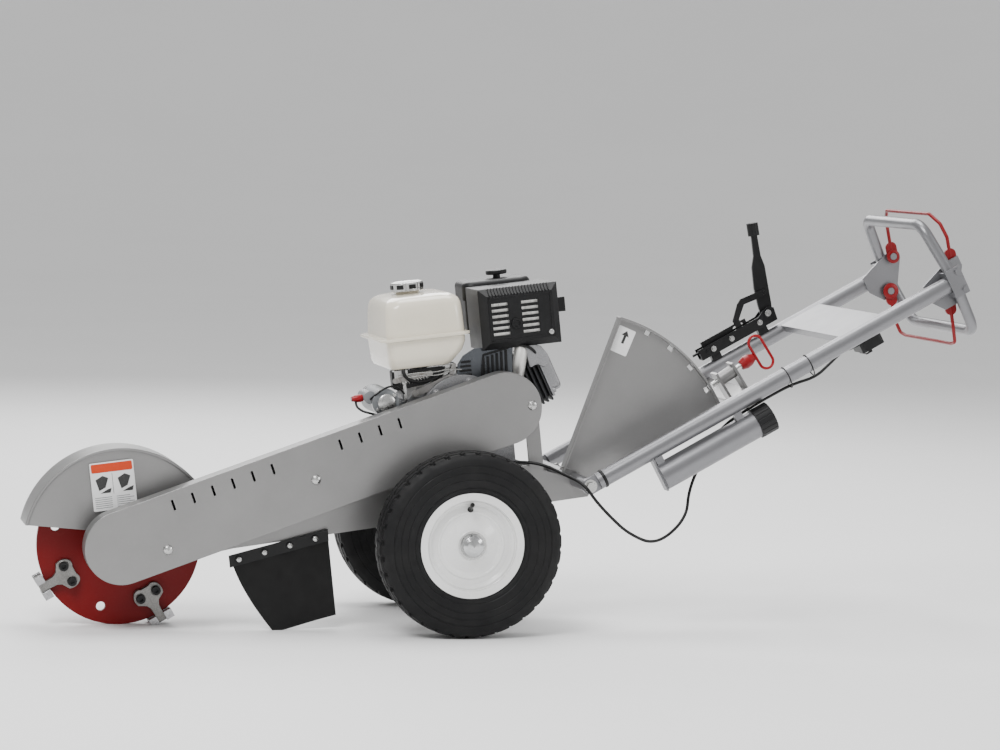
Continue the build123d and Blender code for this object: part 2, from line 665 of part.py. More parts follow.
def carburettor():
    body = block(150, 200, 68, 110, 372, 410) + bar_z(175, 90, 18, 352, 374)
    body += block(158, 192, 78, 112, 408, 425)
    body += block(160, 190, 66, 70, 350, 404)
    return body


def starter_motor():
    """Starter motor with its solenoid and the terminal boot."""
    motor = bar_y(-118, 308, 30, -76, 64) + bar_y(-118, 308, 20, -84, -76)
    motor += bar_y(SOLENOID_X, SOLENOID_Z, SOLENOID_R, -66, 4)
    motor += block(-96, -68, -36, 60, 266, 300)
    seat = SOLENOID_X - SOLENOID_R - 0.2
    boot = bar_x(-52, SOLENOID_Z, 7, seat - 18, seat) + bar_x(-52, SOLENOID_Z, 5, seat - 26, seat - 18)
    return Compound(children=[motor, boot])


# ---- handle -------------------------------------------------------------------------------
def handle_tube():
    """Near tube with its flattened pivot end."""
    tube = bar_x(-TUBE_Y, 0, TUBE_R, 20, TUBE_END)
    tube -= bar_x(-TUBE_Y, 0, TUBE_R - TUBE_WALL, 24, TUBE_END + 1)
    eye = capsule(0, 0, 24, 0, 18, -TUBE_Y - 6, -TUBE_Y + 6)
    eye -= bar_y(0, 0, PIVOT_BOLT_R + 0.4, -240, -180)
    return tube + eye


def handle_tubes():
    near = handle_tube()
    return on_handle(Compound(children=[near, mirrored(near)]))


def tube_fillers():
    """Space taken by both tubes, for coping pieces that meet them."""
    return bar_x(-TUBE_Y, 0, TUBE_R, 0, TUBE_END) + bar_x(TUBE_Y, 0, TUBE_R, 0, TUBE_END)


def cross_plate():
    sheet = block(CROSS_U0, CROSS_U1, -TUBE_Y, TUBE_Y, 11, 15)
    sheet += block(CROSS_U0, CROSS_U0 + 4, -185, 185, -1, 12)
    return on_handle(sheet - tube_fillers())


RING_TOP = (172.0, 142.0)
RING_MID = (215.0, 0.0)
RING_BOTTOM = (190.0, -128.0)


def ring_path():
    corners = [RING_TOP, RING_MID, RING_BOTTOM]
    left = [(-y, v) for y, v in corners]
    right = [(y, v) for y, v in reversed(corners)]
    points = [(RING_U, y, v) for y, v in left + right]
    return FilletPolyline(*points, radius=40, close=True)


def ring_bar():
    path = ring_path()
    return sweep(Plane(origin=path @ 0, z_dir=path % 0) * Circle(RING_R), path=path)


def grip_ring():
    """Closed six-sided grip bar across the ends of the tubes."""
    return on_handle(ring_bar())


BAIL_TOP_PIVOT = (RING_U + 23.0, 32.0)
BAIL_LOW_PIVOT = (RING_U - 19.0, -38.0)
BAIL_Y = 183.0


def grip_brackets():
    """Clamps at the tube ends with the pins the two bails turn on."""
    inner = plate([(-65, -20), (-40, -52), (-5, -52), (40, 20), (40, 44), (10, 44), (-65, 19)],
                  -193, -188)
    outer = plate([(-19, -32), (17, -32), (19, 34), (-19, 34)], -235, -230)
    for v0, v1 in ((18, 30), (-30, -18)):
        outer += block(-19, -RING_PAST_TUBE, -232, -190, v0, v1)
    body = Pos(RING_U, 0, 0) * (inner + outer)
    for u, v in (BAIL_TOP_PIVOT, BAIL_LOW_PIVOT):
        body += bar_y(u, v, 5, -190, -179) + bar_y(u, v, 8, -179, -176)
    for v in (22, -22):
        body += bar_y(RING_U + 9, v, 6.5, -239, -234)
    body -= ring_bar()
    body -= tube_fillers()
    return on_handle(Compound(children=[body, mirrored(body)]))


def bail(pivot, from_ring):
    """Wire bail with a cam plate and pivot eye at each side."""
    pu, pv = pivot
    points = [(RING_U + u, y, v) for u, y, v in from_ring]
    near = [(u, -y, v) for u, y, v in points]
    far = [(u, y, v) for u, y, v in reversed(points)]
    rod = bent_rod(near + far, 4, 14)
    for y0, y1 in ((-BAIL_Y - 3, -BAIL_Y + 3), (BAIL_Y - 3, BAIL_Y + 3)):
        du, dv = points[1][0] - pu, points[1][2] - pv
        size = math.hypot(du, dv)
        reach = (pu + 22 * du / size, pv + 22 * dv / size)
        rod += capsule(pu, pv, reach[0], reach[1], 13, y0, y1)
    for side in (-1, 1):
        rod -= bar_y(pu, pv, 5.4, *sorted((side * 170.0, side * 200.0)))
    return on_handle(rod)


def bail_upper():
    return bail(BAIL_TOP_PIVOT, [(26, BAIL_Y, 46), (39, BAIL_Y, 90), (43, 168, 122),
                                 (42, 132, 146)])


def bail_lower():
    return bail(BAIL_LOW_PIVOT, [(-23, BAIL_Y, -52), (-39, BAIL_Y, -100), (-45, 168, -134),
                                 (-45, 140, -140)])


def control_box():
    box = block(0, 56, -184, -116, -50, 11)
    box = fillet(box.edges().filter_by(Axis.Z), 8)
    box += block(8, 24, -172, -128, -58, -48)
    return on_handle(Pos(CROSS_U0 + 39, 0, 0) * box)


CAN_V = -62.0


def manual_tube():
    """Document tube under the near handle tube, open at the capped end."""
    can = bar_x(-TUBE_Y, CAN_V, 31, 152, 428) - bar_x(-TUBE_Y, CAN_V, 28.5, 156, 430)
    for u in (164.0, 368.0):
        can += block(u - 9, u + 9, -222, -208, CAN_V + 29, -12)
    can += block(148, 152, -226, -198, CAN_V - 31, -10)
    return on_handle(can - bar_x(-TUBE_Y, 0, TUBE_R, 0, TUBE_END))


def manual_tube_cap():
    cap = bar_x(-TUBE_Y, CAN_V, 34, 396, 436) - bar_x(-TUBE_Y, CAN_V, 31.3, 390, 431)
    for angle in range(0, 360, 20):
        y, v = polar(34.6, angle, -TUBE_Y, CAN_V)
        cap -= bar_x(y, v, 1.8, 398, 437)
    return on_handle(cap)


# ---- lock pin -----------------------------------------------------------------------------
def lock_bracket():
    """Flat bar between the tubes with the zinc bracket and barrel of the lock pin."""
    base = on_lock(block(396, 448, -TUBE_Y, TUBE_Y, -56, -50))
    base -= on_handle(tube_fillers())
    lug = block(397, 403, LOCK_Y - 20, LOCK_Y + 20, -50, 20)
    body = lug + Pos(43, 0, 0) * lug + block(397, 446, LOCK_Y - 20, LOCK_Y + 20, -50, -46)
    body += bar_x(LOCK_Y, 0, 15, 403, 440) - bar_x(LOCK_Y, 0, 12, 403, 440)
    body -= bar_x(LOCK_Y, 0, 6.4, 390, 450)
    return base + on_lock(body)


def lock_pin():
    pin = bar_x(LOCK_Y, 0, 6, 382, 476) + bar_x(LOCK_Y, 0, 11, 418, 424)
    return on_lock(pin)


def lock_ring():
    """Pull knob with an oval wire ring."""
    knob = revolve(Rot(90, 0, 0) * make_face(Polyline((6, 462), (11, 462), (15, 474), (14, 486),
                                                      (8, 498), (0, 500), (0, 476), (6, 476),
                                                      close=True)), Axis.Z)
    knob = Pos(0, LOCK_Y, 0) * Rot(0, 90, 0) * knob
    centre = 518.0
    straight = 25.0
    turn = 16.0
    loop = Wire([Edge.make_line((centre - turn, 0, -straight), (centre - turn, 0, straight)),
                 Edge.make_three_point_arc((centre - turn, 0, straight),
                                           (centre, 0, straight + turn),
                                           (centre + turn, 0, straight)),
                 Edge.make_line((centre + turn, 0, straight), (centre + turn, 0, -straight)),
                 Edge.make_three_point_arc((centre + turn, 0, -straight),
                                           (centre, 0, -straight - turn),
                                           (centre - turn, 0, -straight))])
    section = Plane(origin=(centre - turn, 0, -straight), z_dir=(0, 0, 1)) * Circle(3.2)
    return on_lock(knob + Pos(0, LOCK_Y, 0) * sweep(section, path=loop))


# ---- brake lever --------------------------------------------------------------------------
def lever_base():
    """Channel on stand-offs over the far tube."""
    walls = plate([(454, 32), (660, 32), (664, 62), (650, 70), (636, 66), (620, 58), (454, 58)],
                  LEVER_Y - 14, LEVER_Y + 14)
    walls -= block(440, 680, LEVER_Y - 11, LEVER_Y + 11, 35, 90)
    walls += block(478, 502, LEVER_Y - 9, LEVER_Y + 9, 10, 33)
    walls += block(606, 630, LEVER_Y - 9, LEVER_Y + 9, 10, 33)
    walls += bar_y(LEVER_U, LEVER_V, 4.6, LEVER_Y - 17, LEVER_Y + 17)
    for u in (476.0, 540.0):
        walls += bar_y(u, 45, 5, LEVER_Y - 16.5, LEVER_Y - 13)
    return on_handle(walls - tube_fillers())


def on_lever(shape):
    return Pos(LEVER_U, LEVER_Y, LEVER_V) * Rot(0, -LEVER_ANGLE, 0) * shape


def brake_lever():
    """Forged lever: broad foot, waisted grip and a stem for the twist knob."""
    blade = plate([(-12, -9), (-6, -15), (20, -16), (60, -15), (110, -14), (135, -8),
                   (LEVER_LENGTH - 30, -7), (LEVER_LENGTH - 30, 7), (135, 9), (110, 17),
                   (60, 20), (20, 17), (-6, 13), (-12, 7)], -3.5, 3.5)
    blade -= bar_y(0, 0, 5, -10, 10)
    blade += bar_x(0, 0, 5.5, LEVER_LENGTH - 34, LEVER_LENGTH - 8)
    blade += bar_y(48, 0, 4, -9.6, 9.6)
    return on_handle(on_lever(blade))


def lever_knob():
    body = bar_x(0, 0, 13.5, LEVER_LENGTH - 29.5, LEVER_LENGTH)
    body -= bar_x(0, 0, 5.9, LEVER_LENGTH - 40, LEVER_LENGTH - 6)
    for angle in range(0, 360, 30):
        y, z = polar(14.2, angle)
        body -= bar_x(y, z, 2, LEVER_LENGTH - 27, LEVER_LENGTH + 1)
    return on_handle(on_lever(body))


LINK_TOP = (LEVER_U + 48 * math.cos(math.radians(LEVER_ANGLE)),
            LEVER_V + 48 * math.sin(math.radians(LEVER_ANGLE)))
LINK_FOOT = (569.5, 56.0)


def brake_link():
    """Bent link from the lever down to the slide."""
    knee = (598.0, 108.0)
    arm = plate([(LINK_TOP[0], LINK_TOP[1] - 8), (LINK_TOP[0], LINK_TOP[1] + 8),
                 (knee[0] + 4, knee[1] + 8), (knee[0] - 8, knee[1] + 1),
                 (LINK_FOOT[0] - 8, LINK_FOOT[1] + 22), (LINK_FOOT[0] - 7, LINK_FOOT[1]),
                 (LINK_FOOT[0] + 7, LINK_FOOT[1]), (LINK_FOOT[0] + 8, LINK_FOOT[1] + 20),
                 (knee[0] + 6, knee[1] - 7)], LEVER_Y - 9, LEVER_Y - 4.5)
    arm += bar_y(*LINK_TOP, 8, LEVER_Y - 9, LEVER_Y - 4.5)
    arm += bar_y(*LINK_FOOT, 7, LEVER_Y - 9, LEVER_Y - 4.5)
    arm += bar_y(*LINK_FOOT, 3, LEVER_Y - 5, LEVER_Y + 5)
    arm -= bar_y(*LINK_TOP, 4.4, LEVER_Y - 20, LEVER_Y + 20)
    return on_handle(arm)


def brake_rod():
    """Slide in the channel, slotted for the pin of the link."""
    slide = block(470, 592, LEVER_Y - 3, LEVER_Y + 3, 35 + RUN_GAP, 70)
    slide -= capsule(562, 57.5, 577, 57.5, 8, LEVER_Y - 6, LEVER_Y + 6)
    slide += bar_x(LEVER_Y, 50, 3, 440, 472)
    return on_handle(slide)


# ---- control cable ------------------------------------------------------------------------
CABLE_ON_HANDLE = ((700, -160, -26), (664, -160, -26), (622, -184, -30), (570, -202, -38),
                   (515, -203, -25.5), (456, -202, -24.3), (398, -203, -25), (340, -171, -38),
                   (284, -171, -66), (238, -174, -99))
CABLE_LOOP = ((238, -174, -99), (203.5, -176.25, -123.75), (165, -191, -178), (72, -214, -190),
              (25, -233, -132), (4, -240, -76), (-9, -240, -28))
CABLE_ON_FRAME = ((281, -236, 77.3), (271.4, -232.2, 95.7), (244, -180, 114), (205, -132, 139),
                  (150, -112, 148), (108, -110, 144), (80, -92, 142), (80, -60, 142))


def handle_point(u, y, v):
    turn = math.radians(HANDLE_ANGLE)
    return (PIVOT_X + u * math.cos(turn) - v * math.sin(turn), y,
            PIVOT_Z + u * math.sin(turn) + v * math.cos(turn))


def control_cable_handle():
    return cable([handle_point(*p) for p in CABLE_ON_HANDLE])


def control_cable_loop():
    """Slack loop of cable under the pivot, between the handle run and the frame run."""
    points = [handle_point(*p) for p in CABLE_LOOP]
    meet = Vector(*CABLE_ON_FRAME[0])
    along = (meet - Vector(*points[-1])).normalized()
    end = meet - along * RUN_GAP
    return cable(points + [(end.X, end.Y, end.Z)])


def control_cable_frame():
    return cable(CABLE_ON_FRAME)


# ---- every piece --------------------------------------------------------------------------
WHEEL_PIECES = {"tyre": tyre, "rim": rim, "hub_cap": hub_cap}

PIECES = {
    "axle": axle,
    "near_frame_plate": lambda: frame_plate(True),
    "far_frame_plate": lambda: frame_plate(False),
    "engine_deck": engine_deck, "pivot_tube": pivot_tube, "pivot_bolts": pivot_bolts,
    "quadrant": quadrant,
    "cutter_disc": cutter_disc, "cutter_teeth": cutter_teeth, "tooth_bolts": tooth_bolts,
    "cutter_shaft": cutter_shaft, "cutter_bearings": cutter_bearings,
    "cutter_pulley": cutter_pulley, "drive_belt": drive_belt,
    "cutter_guard": cutter_guard, "belt_guard": belt_guard,
    "belt_guard_back": belt_guard_back, "belt_guard_bolts": belt_guard_bolts,
    "chip_flap": chip_flap, "flap_strip": flap_strip,
    "engine_block": engine_block, "cylinder": cylinder, "valve_cover": valve_cover,
    "recoil_cover": recoil_cover, "crankshaft": crankshaft, "engine_pulley": engine_pulley,
    "fuel_tank": fuel_tank, "tank_bracket": tank_bracket, "fuel_cap": fuel_cap,
    "muffler": muffler, "muffler_guard": muffler_guard,
    "air_cleaner": air_cleaner,
    "carburettor": carburettor, "starter_motor": starter_motor,
    "handle_tubes": handle_tubes, "cross_plate": cross_plate, "grip_ring": grip_ring,
    "grip_brackets": grip_brackets, "bail_upper": bail_upper, "bail_lower": bail_lower,
    "control_box": control_box, "manual_tube": manual_tube, "manual_tube_cap": manual_tube_cap,
    "lock_bracket": lock_bracket, "lock_pin": lock_pin, "lock_ring": lock_ring,
    "lever_base": lever_base, "brake_lever": brake_lever, "lever_knob": lever_knob,
    "brake_link": brake_link, "brake_rod": brake_rod,
    "control_cable_handle": control_cable_handle, "control_cable_loop": control_cable_loop,
    "control_cable_frame": control_cable_frame,
}


def all_pieces():
    """Every piece in its level place, by name."""
    made = {}
    for name, make in WHEEL_PIECES.items():
        made["near_" + name] = Pos(0, -WHEEL_Y, 0) * make()
        made["far_" + name] = Pos(0, WHEEL_Y, 0) * mirrored(make())
    for name, make in PIECES.items():
        made[name] = make()
    return made


def tipped_pieces():
    """Every piece with the machine tipped nose-down about its axle."""
    return {name: Rot(0, -REST_PITCH, 0) * shape for name, shape in all_pieces().items()}


def ground_shift(pieces):
    """Move that puts the middle of the machine over the origin, on the ground."""
    boxes = [shape.bounding_box() for shape in pieces.values()]
    low = [min(box.min.X for box in boxes), min(box.min.Y for box in boxes)]
    high = [max(box.max.X for box in boxes), max(box.max.Y for box in boxes)]
    return (-(low[0] + high[0]) / 2, -(low[1] + high[1]) / 2, TYRE_R)


def main():
    os.makedirs("parts", exist_ok=True)
    pieces = tipped_pieces()
    shift = ground_shift(pieces)
    for name, shape in pieces.items():
        export_step(Pos(*shift) * shape, "parts/" + name + ".step")


if __name__ == "__main__":
    main()
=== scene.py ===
"""Looks of a walk-behind stump grinder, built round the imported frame. Metres, Z up."""

import json
import math

import bmesh
import bpy
from mathutils import Matrix, Vector


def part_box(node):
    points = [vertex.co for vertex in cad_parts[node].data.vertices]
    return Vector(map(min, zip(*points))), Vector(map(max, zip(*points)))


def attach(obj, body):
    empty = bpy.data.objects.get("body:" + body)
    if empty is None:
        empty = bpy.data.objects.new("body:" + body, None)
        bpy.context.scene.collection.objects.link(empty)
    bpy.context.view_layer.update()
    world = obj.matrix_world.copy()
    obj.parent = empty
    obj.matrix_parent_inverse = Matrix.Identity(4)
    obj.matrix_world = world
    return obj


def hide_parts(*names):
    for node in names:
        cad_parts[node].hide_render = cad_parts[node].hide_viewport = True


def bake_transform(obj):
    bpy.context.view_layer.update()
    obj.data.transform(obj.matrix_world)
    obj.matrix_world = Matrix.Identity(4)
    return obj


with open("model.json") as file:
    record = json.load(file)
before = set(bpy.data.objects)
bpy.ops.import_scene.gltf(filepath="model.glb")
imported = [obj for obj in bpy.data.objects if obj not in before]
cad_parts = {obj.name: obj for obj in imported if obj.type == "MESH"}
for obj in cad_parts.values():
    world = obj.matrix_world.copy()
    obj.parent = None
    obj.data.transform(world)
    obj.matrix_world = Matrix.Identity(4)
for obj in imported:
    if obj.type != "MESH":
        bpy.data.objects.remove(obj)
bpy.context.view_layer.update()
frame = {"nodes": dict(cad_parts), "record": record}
nodes = frame["nodes"]
joints = {j["name"]: j for j in frame["record"]["behaviour"]["joints"]}

# ---- places read from the frame -----------------------------------------------------------
AXLE = Vector(joints["near_wheel_spin"]["pos_m"])
AXLE.y = 0.0
CUTTER = Vector(joints["cutter_spin"]["pos_m"])
PIVOT = Vector(joints["handle_raise"]["pos_m"])
UP = Vector(joints["fuel_cap_lift"]["axis"])
TUBE_DIR = Vector(joints["manual_cap_pull"]["axis"])
PITCH = math.atan2(-UP.x, UP.z)
TUBE_ANGLE = math.atan2(TUBE_DIR.z, TUBE_DIR.x)
WHEEL_Y = abs(joints["near_wheel_spin"]["pos_m"][1])

# Level machine axes: origin at the axle, x towards the grips, drawn in millimetres.
MM = 0.001
LEVEL = Matrix.Translation(AXLE) @ Matrix.Rotation(-PITCH, 4, "Y")
# Handle axes: origin at the pivot, x along the tubes.
HANDLE = Matrix.Translation(PIVOT) @ Matrix.Rotation(-TUBE_ANGLE, 4, "Y")
SIDES = (("near", -1), ("far", 1))


def level(x, y, z):
    """Point given in level machine axes."""
    return LEVEL @ (Vector((x, y, z)) * MM)


def on_tube(u, y, v):
    """Point given in handle axes."""
    return HANDLE @ (Vector((u, y, v)) * MM)


# ---- camera -------------------------------------------------------------------------------
CAMERA_FROM_AXLE = Vector((-1.6174, -6.8451, 0.8807))
CAMERA_YAW = 0.2486
CAMERA_PITCH = 0.0753
CAMERA_ROLL = 0.0268
CAMERA_LENS = 114.07


def make_camera():
    """Camera at the photograph's viewing angle."""
    data = bpy.data.cameras.new("camera")
    data.lens = CAMERA_LENS
    data.sensor_width = 36.0
    data.clip_end = 60.0
    camera = bpy.data.objects.new("camera", data)
    bpy.context.collection.objects.link(camera)
    turn = Matrix.Rotation(-CAMERA_YAW, 4, "Z")
    turn = turn @ Matrix.Rotation(math.pi / 2 - CAMERA_PITCH, 4, "X")
    turn = turn @ Matrix.Rotation(CAMERA_ROLL, 4, "Z")
    camera.matrix_world = Matrix.Translation(AXLE + CAMERA_FROM_AXLE) @ turn
    bpy.context.scene.camera = camera


make_camera()


# ---- material kit -------------------------------------------------------------------------
class Nodes:
    """Short way to write a node material."""

    def __init__(self, name):
        self.material = bpy.data.materials.new(name)
        self.material.use_nodes = True
        self.tree = self.material.node_tree
        self.shader = self.tree.nodes["Principled BSDF"]
        self.place = self.add("ShaderNodeTexCoord").outputs["Object"]
        self.normal = None

    def add(self, kind, **values):
        node = self.tree.nodes.new(kind)
        for key, value in values.items():
            setattr(node, key, value)
        return node

    def link(self, out, into):
        self.tree.links.new(out, into)

    def set(self, **values):
        for key, value in values.items():
            self.shader.inputs[key.replace("_", " ")].default_value = value

    def noise(self, scale, detail, rough=0.55):
        node = self.add("ShaderNodeTexNoise")
        node.inputs["Scale"].default_value = scale
        node.inputs["Detail"].default_value = detail
        node.inputs["Roughness"].default_value = rough
        self.link(self.place, node.inputs["Vector"])
        return node.outputs["Fac"]

    def ramp(self, factor, stops):
        node = self.add("ShaderNodeValToRGB")
        band = node.color_ramp
        while len(band.elements) < len(stops):
            band.elements.new(0.5)
        for element, (place, colour) in zip(band.elements, stops):
            element.position = place
            element.color = (*colour, 1.0)
        self.link(factor, node.inputs["Fac"])
        return node.outputs["Color"]

    def span(self, factor, low, high, into0=0.0, into1=1.0):
        node = self.add("ShaderNodeMapRange")
        sockets = ("From Min", "From Max", "To Min", "To Max")
        for key, value in zip(sockets, (into0, into1, low, high)):
            node.inputs[key].default_value = value
        self.link(factor, node.inputs["Value"])
        return node.outputs["Result"]

    def mix(self, factor, one, two):
        node = self.add("ShaderNodeMix", data_type="RGBA")
        self.link(factor, node.inputs[0])
        for value, socket in ((one, node.inputs[6]), (two, node.inputs[7])):
            if isinstance(value, tuple):
                socket.default_value = (*value, 1.0)
            else:
                self.link(value, socket)
        return node.outputs[2]

    def rounded(self, radius):
        """Edges catch light as if broken by this radius."""
        node = self.add("ShaderNodeBevel", samples=6)
        node.inputs["Radius"].default_value = radius
        self.normal = node.outputs["Normal"]
        self.link(self.normal, self.shader.inputs["Normal"])

    def edge_mask(self, radius):
        """1 on convex edges and 0 on flat faces."""
        bevel = self.add("ShaderNodeBevel", samples=6)
        bevel.inputs["Radius"].default_value = radius
        face = self.add("ShaderNodeNewGeometry").outputs["Normal"]
        dot = self.add("ShaderNodeVectorMath", operation="DOT_PRODUCT")
        self.link(bevel.outputs["Normal"], dot.inputs[0])
        self.link(face, dot.inputs[1])
        return self.span(dot.outputs["Value"], 1.0, 0.0, 0.75, 0.99)

    def bump(self, height, strength, distance):
        node = self.add("ShaderNodeBump")
        node.inputs["Strength"].default_value = strength
        node.inputs["Distance"].default_value = distance
        self.link(height, node.inputs["Height"])
        if self.normal:
            self.link(self.normal, node.inputs["Normal"])
        self.normal = node.outputs["Normal"]
        self.link(self.normal, self.shader.inputs["Normal"])

    def colour(self, out):
        self.link(out, self.shader.inputs["Base Color"])

    def roughness(self, out):
        self.link(out, self.shader.inputs["Roughness"])


def shade(colour, by):
    """Colour made darker or lighter."""
    return tuple(min(1.0, c * by) for c in colour)


def paint(name, colour, rough=0.35, metallic=0.0, peel=0.12, radius=0.0012,
          dust=(0.45, 0.43, 0.40), dust_amount=0.12, chip=None, coat=0.0, gloss=0.5):
    """Sprayed finish: orange peel, cloudy tone, scattered specks of dust and worn edges."""
    m = Nodes(name)
    m.set(Metallic=metallic, Coat_Weight=coat, Coat_Roughness=0.12, Specular_IOR_Level=gloss)
    m.rounded(radius)
    cloudy = m.ramp(m.noise(7.0, 5.0), [(0.3, shade(colour, 0.93)), (0.7, shade(colour, 1.05))])
    speck = m.span(m.noise(210.0, 2.0), 0.0, dust_amount, 0.5, 0.75)
    tone = m.mix(speck, cloudy, dust)
    if chip:
        wear = m.add("ShaderNodeMath", operation="MULTIPLY")
        m.link(m.edge_mask(0.0022), wear.inputs[0])
        m.link(m.span(m.noise(65.0, 6.0, 0.7), 0.0, 1.0, 0.5, 0.62), wear.inputs[1])
        tone = m.mix(wear.outputs[0], tone, chip)
    m.colour(tone)
    m.roughness(m.span(m.noise(18.0, 6.0), rough - 0.02, rough + 0.05, 0.3, 0.7))
    m.bump(m.noise(900.0, 2.0), peel, 0.0004)
    return m.material


def metal(name, colour, rough, stain=None):
    """Plated or machined metal: fine grain, tone patches, soft stains."""
    m = Nodes(name)
    m.set(Metallic=1.0)
    m.rounded(0.0008)
    tone = m.ramp(m.noise(24.0, 6.0), [(0.25, shade(colour, 0.78)), (0.75, shade(colour, 1.1))])
    if stain:
        tone = m.mix(m.span(m.noise(38.0, 8.0, 0.7), 0.0, 0.8, 0.52, 0.72), tone, stain)
    m.colour(tone)
    grain = m.noise(240.0, 3.0, 0.6)
    m.roughness(m.span(grain, rough - 0.1, rough + 0.14, 0.3, 0.7))
    m.bump(grain, 0.12, 0.0004)
    return m.material


def casting(name, colour, rough=0.5, metallic=1.0):
    """Sand or die casting: pebbled skin, darker pits."""
    m = Nodes(name)
    m.set(Metallic=metallic)
    m.rounded(0.0016)
    grain = m.noise(420.0, 5.0, 0.65)
    m.colour(m.ramp(grain, [(0.3, shade(colour, 0.62)), (0.62, colour)]))
    m.roughness(m.span(m.noise(30.0, 4.0), rough - 0.08, rough + 0.12, 0.3, 0.7))
    m.bump(grain, 0.35, 0.0006)
    return m.material


def plastic(name, colour, rough=0.42, grain=0.2, gloss=0.5):
    """Moulded plastic with a fine spark-eroded texture."""
    m = Nodes(name)
    m.set(Specular_IOR_Level=gloss)
    m.rounded(0.0012)
    skin = m.noise(1400.0, 3.0, 0.7)
    m.colour(m.ramp(m.noise(12.0, 3.0), [(0.3, shade(colour, 0.85)), (0.7, shade(colour, 1.15))]))
    m.roughness(m.span(skin, rough - 0.06, rough + 0.1, 0.3, 0.7))
    m.bump(skin, grain, 0.0003)
    return m.material


def rubber(name, colour, rough, dust):
    """Rubber with bloom and dust in the fine grain."""
    m = Nodes(name)
    m.set(Specular_IOR_Level=0.22)
    m.rounded(0.001)
    grain = m.noise(500.0, 4.0, 0.6)
    bloom = m.span(m.noise(9.0, 6.0, 0.65), 0.0, 0.55, 0.42, 0.72)
    m.colour(m.mix(bloom, colour, dust))
    m.roughness(m.span(m.noise(40.0, 5.0), rough - 0.1, rough + 0.12, 0.3, 0.7))
    m.bump(grain, 0.3, 0.0005)
    return m.material


SILVER = (0.265, 0.262, 0.260)
MATERIAL = {
    "silver": paint("silver", SILVER, 0.34, 0.72, chip=(0.16, 0.15, 0.14), dust_amount=0.05),
    # The frame's silver paint made darker, painted shade that tones down the highlights on the
    # handle tubes and cross plate.
    "tube": paint("tube", (0.225, 0.225, 0.235), 0.34, 0.8, radius=0.0006, dust_amount=0.05),
    "red": paint("red", (0.155, 0.0006, 0.0016), 0.42, chip=(0.10, 0.09, 0.08),
                 dust_amount=0.008, gloss=0.22),
    "bail": paint("bail", (0.20, 0.0008, 0.0035), 0.34, radius=0.0006, dust_amount=0.008,
                  gloss=0.3),
    "white": paint("white", (0.80, 0.80, 0.79), 0.25, coat=0.5, dust_amount=0.08),
    "cream": paint("cream", (0.74, 0.685, 0.56), 0.2, coat=0.7, radius=0.002, dust_amount=0.05),
    "black": paint("black", (0.006, 0.006, 0.0065), 0.36, dust=(0.03, 0.03, 0.03), gloss=0.28),
    "zinc": metal("zinc", (0.56, 0.56, 0.55), 0.24),
    "steel": metal("steel", (0.34, 0.33, 0.32), 0.38, stain=(0.14, 0.09, 0.06)),
    "muffler": metal("muffler", (0.50, 0.48, 0.44), 0.4, stain=(0.30, 0.22, 0.14)),
    "alloy": casting("alloy", (0.36, 0.36, 0.37)),
    "fins": casting("fins", (0.035, 0.035, 0.037), 0.5, 0.6),
    "plastic": plastic("plastic", (0.007, 0.007, 0.0075), gloss=0.3),
    "grey": plastic("grey", (0.20, 0.21, 0.22), 0.4),
    "red_plastic": plastic("red_plastic", (0.27, 0.001, 0.005), 0.3, 0.08, 0.35),
    "tyre": rubber("tyre", (0.005, 0.005, 0.0055), 0.58, (0.016, 0.0155, 0.015)),
    "flap": rubber("flap", (0.004, 0.004, 0.004), 0.5, (0.010, 0.010, 0.010)),
    "cable": plastic("cable", (0.005, 0.005, 0.005), 0.36, 0.1, 0.3),
    "guard": paint("guard", SILVER, 0.32, 0.75, radius=0.0035, dust_amount=0.04),
    "chrome": metal("chrome", (0.55, 0.555, 0.56), 0.16),
    "tooth": casting("tooth", (0.25, 0.245, 0.235), 0.36, 0.85),
    "carbide": metal("carbide", (0.42, 0.42, 0.43), 0.24),
    "shroud": paint("shroud", (0.10, 0.108, 0.12), 0.26, 0.75, dust_amount=0.04),
    "pale": metal("pale", (0.82, 0.81, 0.78), 0.5),
    "sticker": paint("sticker", (0.80, 0.80, 0.80), peel=0.02, dust_amount=0.04),
    "orange": paint("orange", (0.56, 0.045, 0.006), peel=0.02, dust_amount=0.02, gloss=0.3),
    "ink": paint("ink", (0.02, 0.02, 0.02), peel=0.02, dust_amount=0.04),
}

# CAD nodes by material.
FINISH = {
    "silver": ("near_frame_plate", "far_frame_plate", "engine_deck", "belt_guard_back",
               "lock_bracket"),
    "guard": ("quadrant", "cutter_guard", "belt_guard"),
    # These parts get the darker copy of the silver paint, painted shade.
    "tube": ("handle_tubes", "grip_ring", "grip_brackets", "pivot_tube", "cross_plate",
             "manual_tube"),
    "red": ("cutter_disc",),
    "bail": ("bail_upper", "bail_lower"),
    "white": ("near_rim", "far_rim"),
    "cream": ("fuel_tank",),
    "black": ("tooth_bolts", "cutter_bearings", "cutter_pulley", "flap_strip", "muffler_guard",
              "lever_base", "brake_lever", "brake_link", "brake_rod", "recoil_cover"),
    "zinc": ("pivot_bolts", "tank_bracket", "belt_guard_bolts", "lock_pin"),
    "chrome": ("near_hub_cap", "far_hub_cap"),
    "steel": ("axle", "cutter_shaft", "cutter_teeth", "crankshaft", "engine_pulley"),
    "muffler": ("muffler",),
    "alloy": ("engine_block", "valve_cover", "carburettor"),
    "fins": ("cylinder",),
    "plastic": ("air_cleaner", "control_box", "manual_tube_cap", "lever_knob", "fuel_cap"),
    "grey": ("starter_motor",),
    "red_plastic": ("lock_ring",),
    "tyre": ("near_tyre", "far_tyre", "drive_belt"),
    "flap": ("chip_flap",),
    "cable": ("control_cable_handle", "control_cable_loop", "control_cable_frame"),
}


def finish_nodes():
    """Give every CAD node its material."""
    for key, names in FINISH.items():
        for name in names:
            mesh = nodes[name].data
            mesh.materials.clear()
            mesh.materials.append(MATERIAL[key])


finish_nodes()


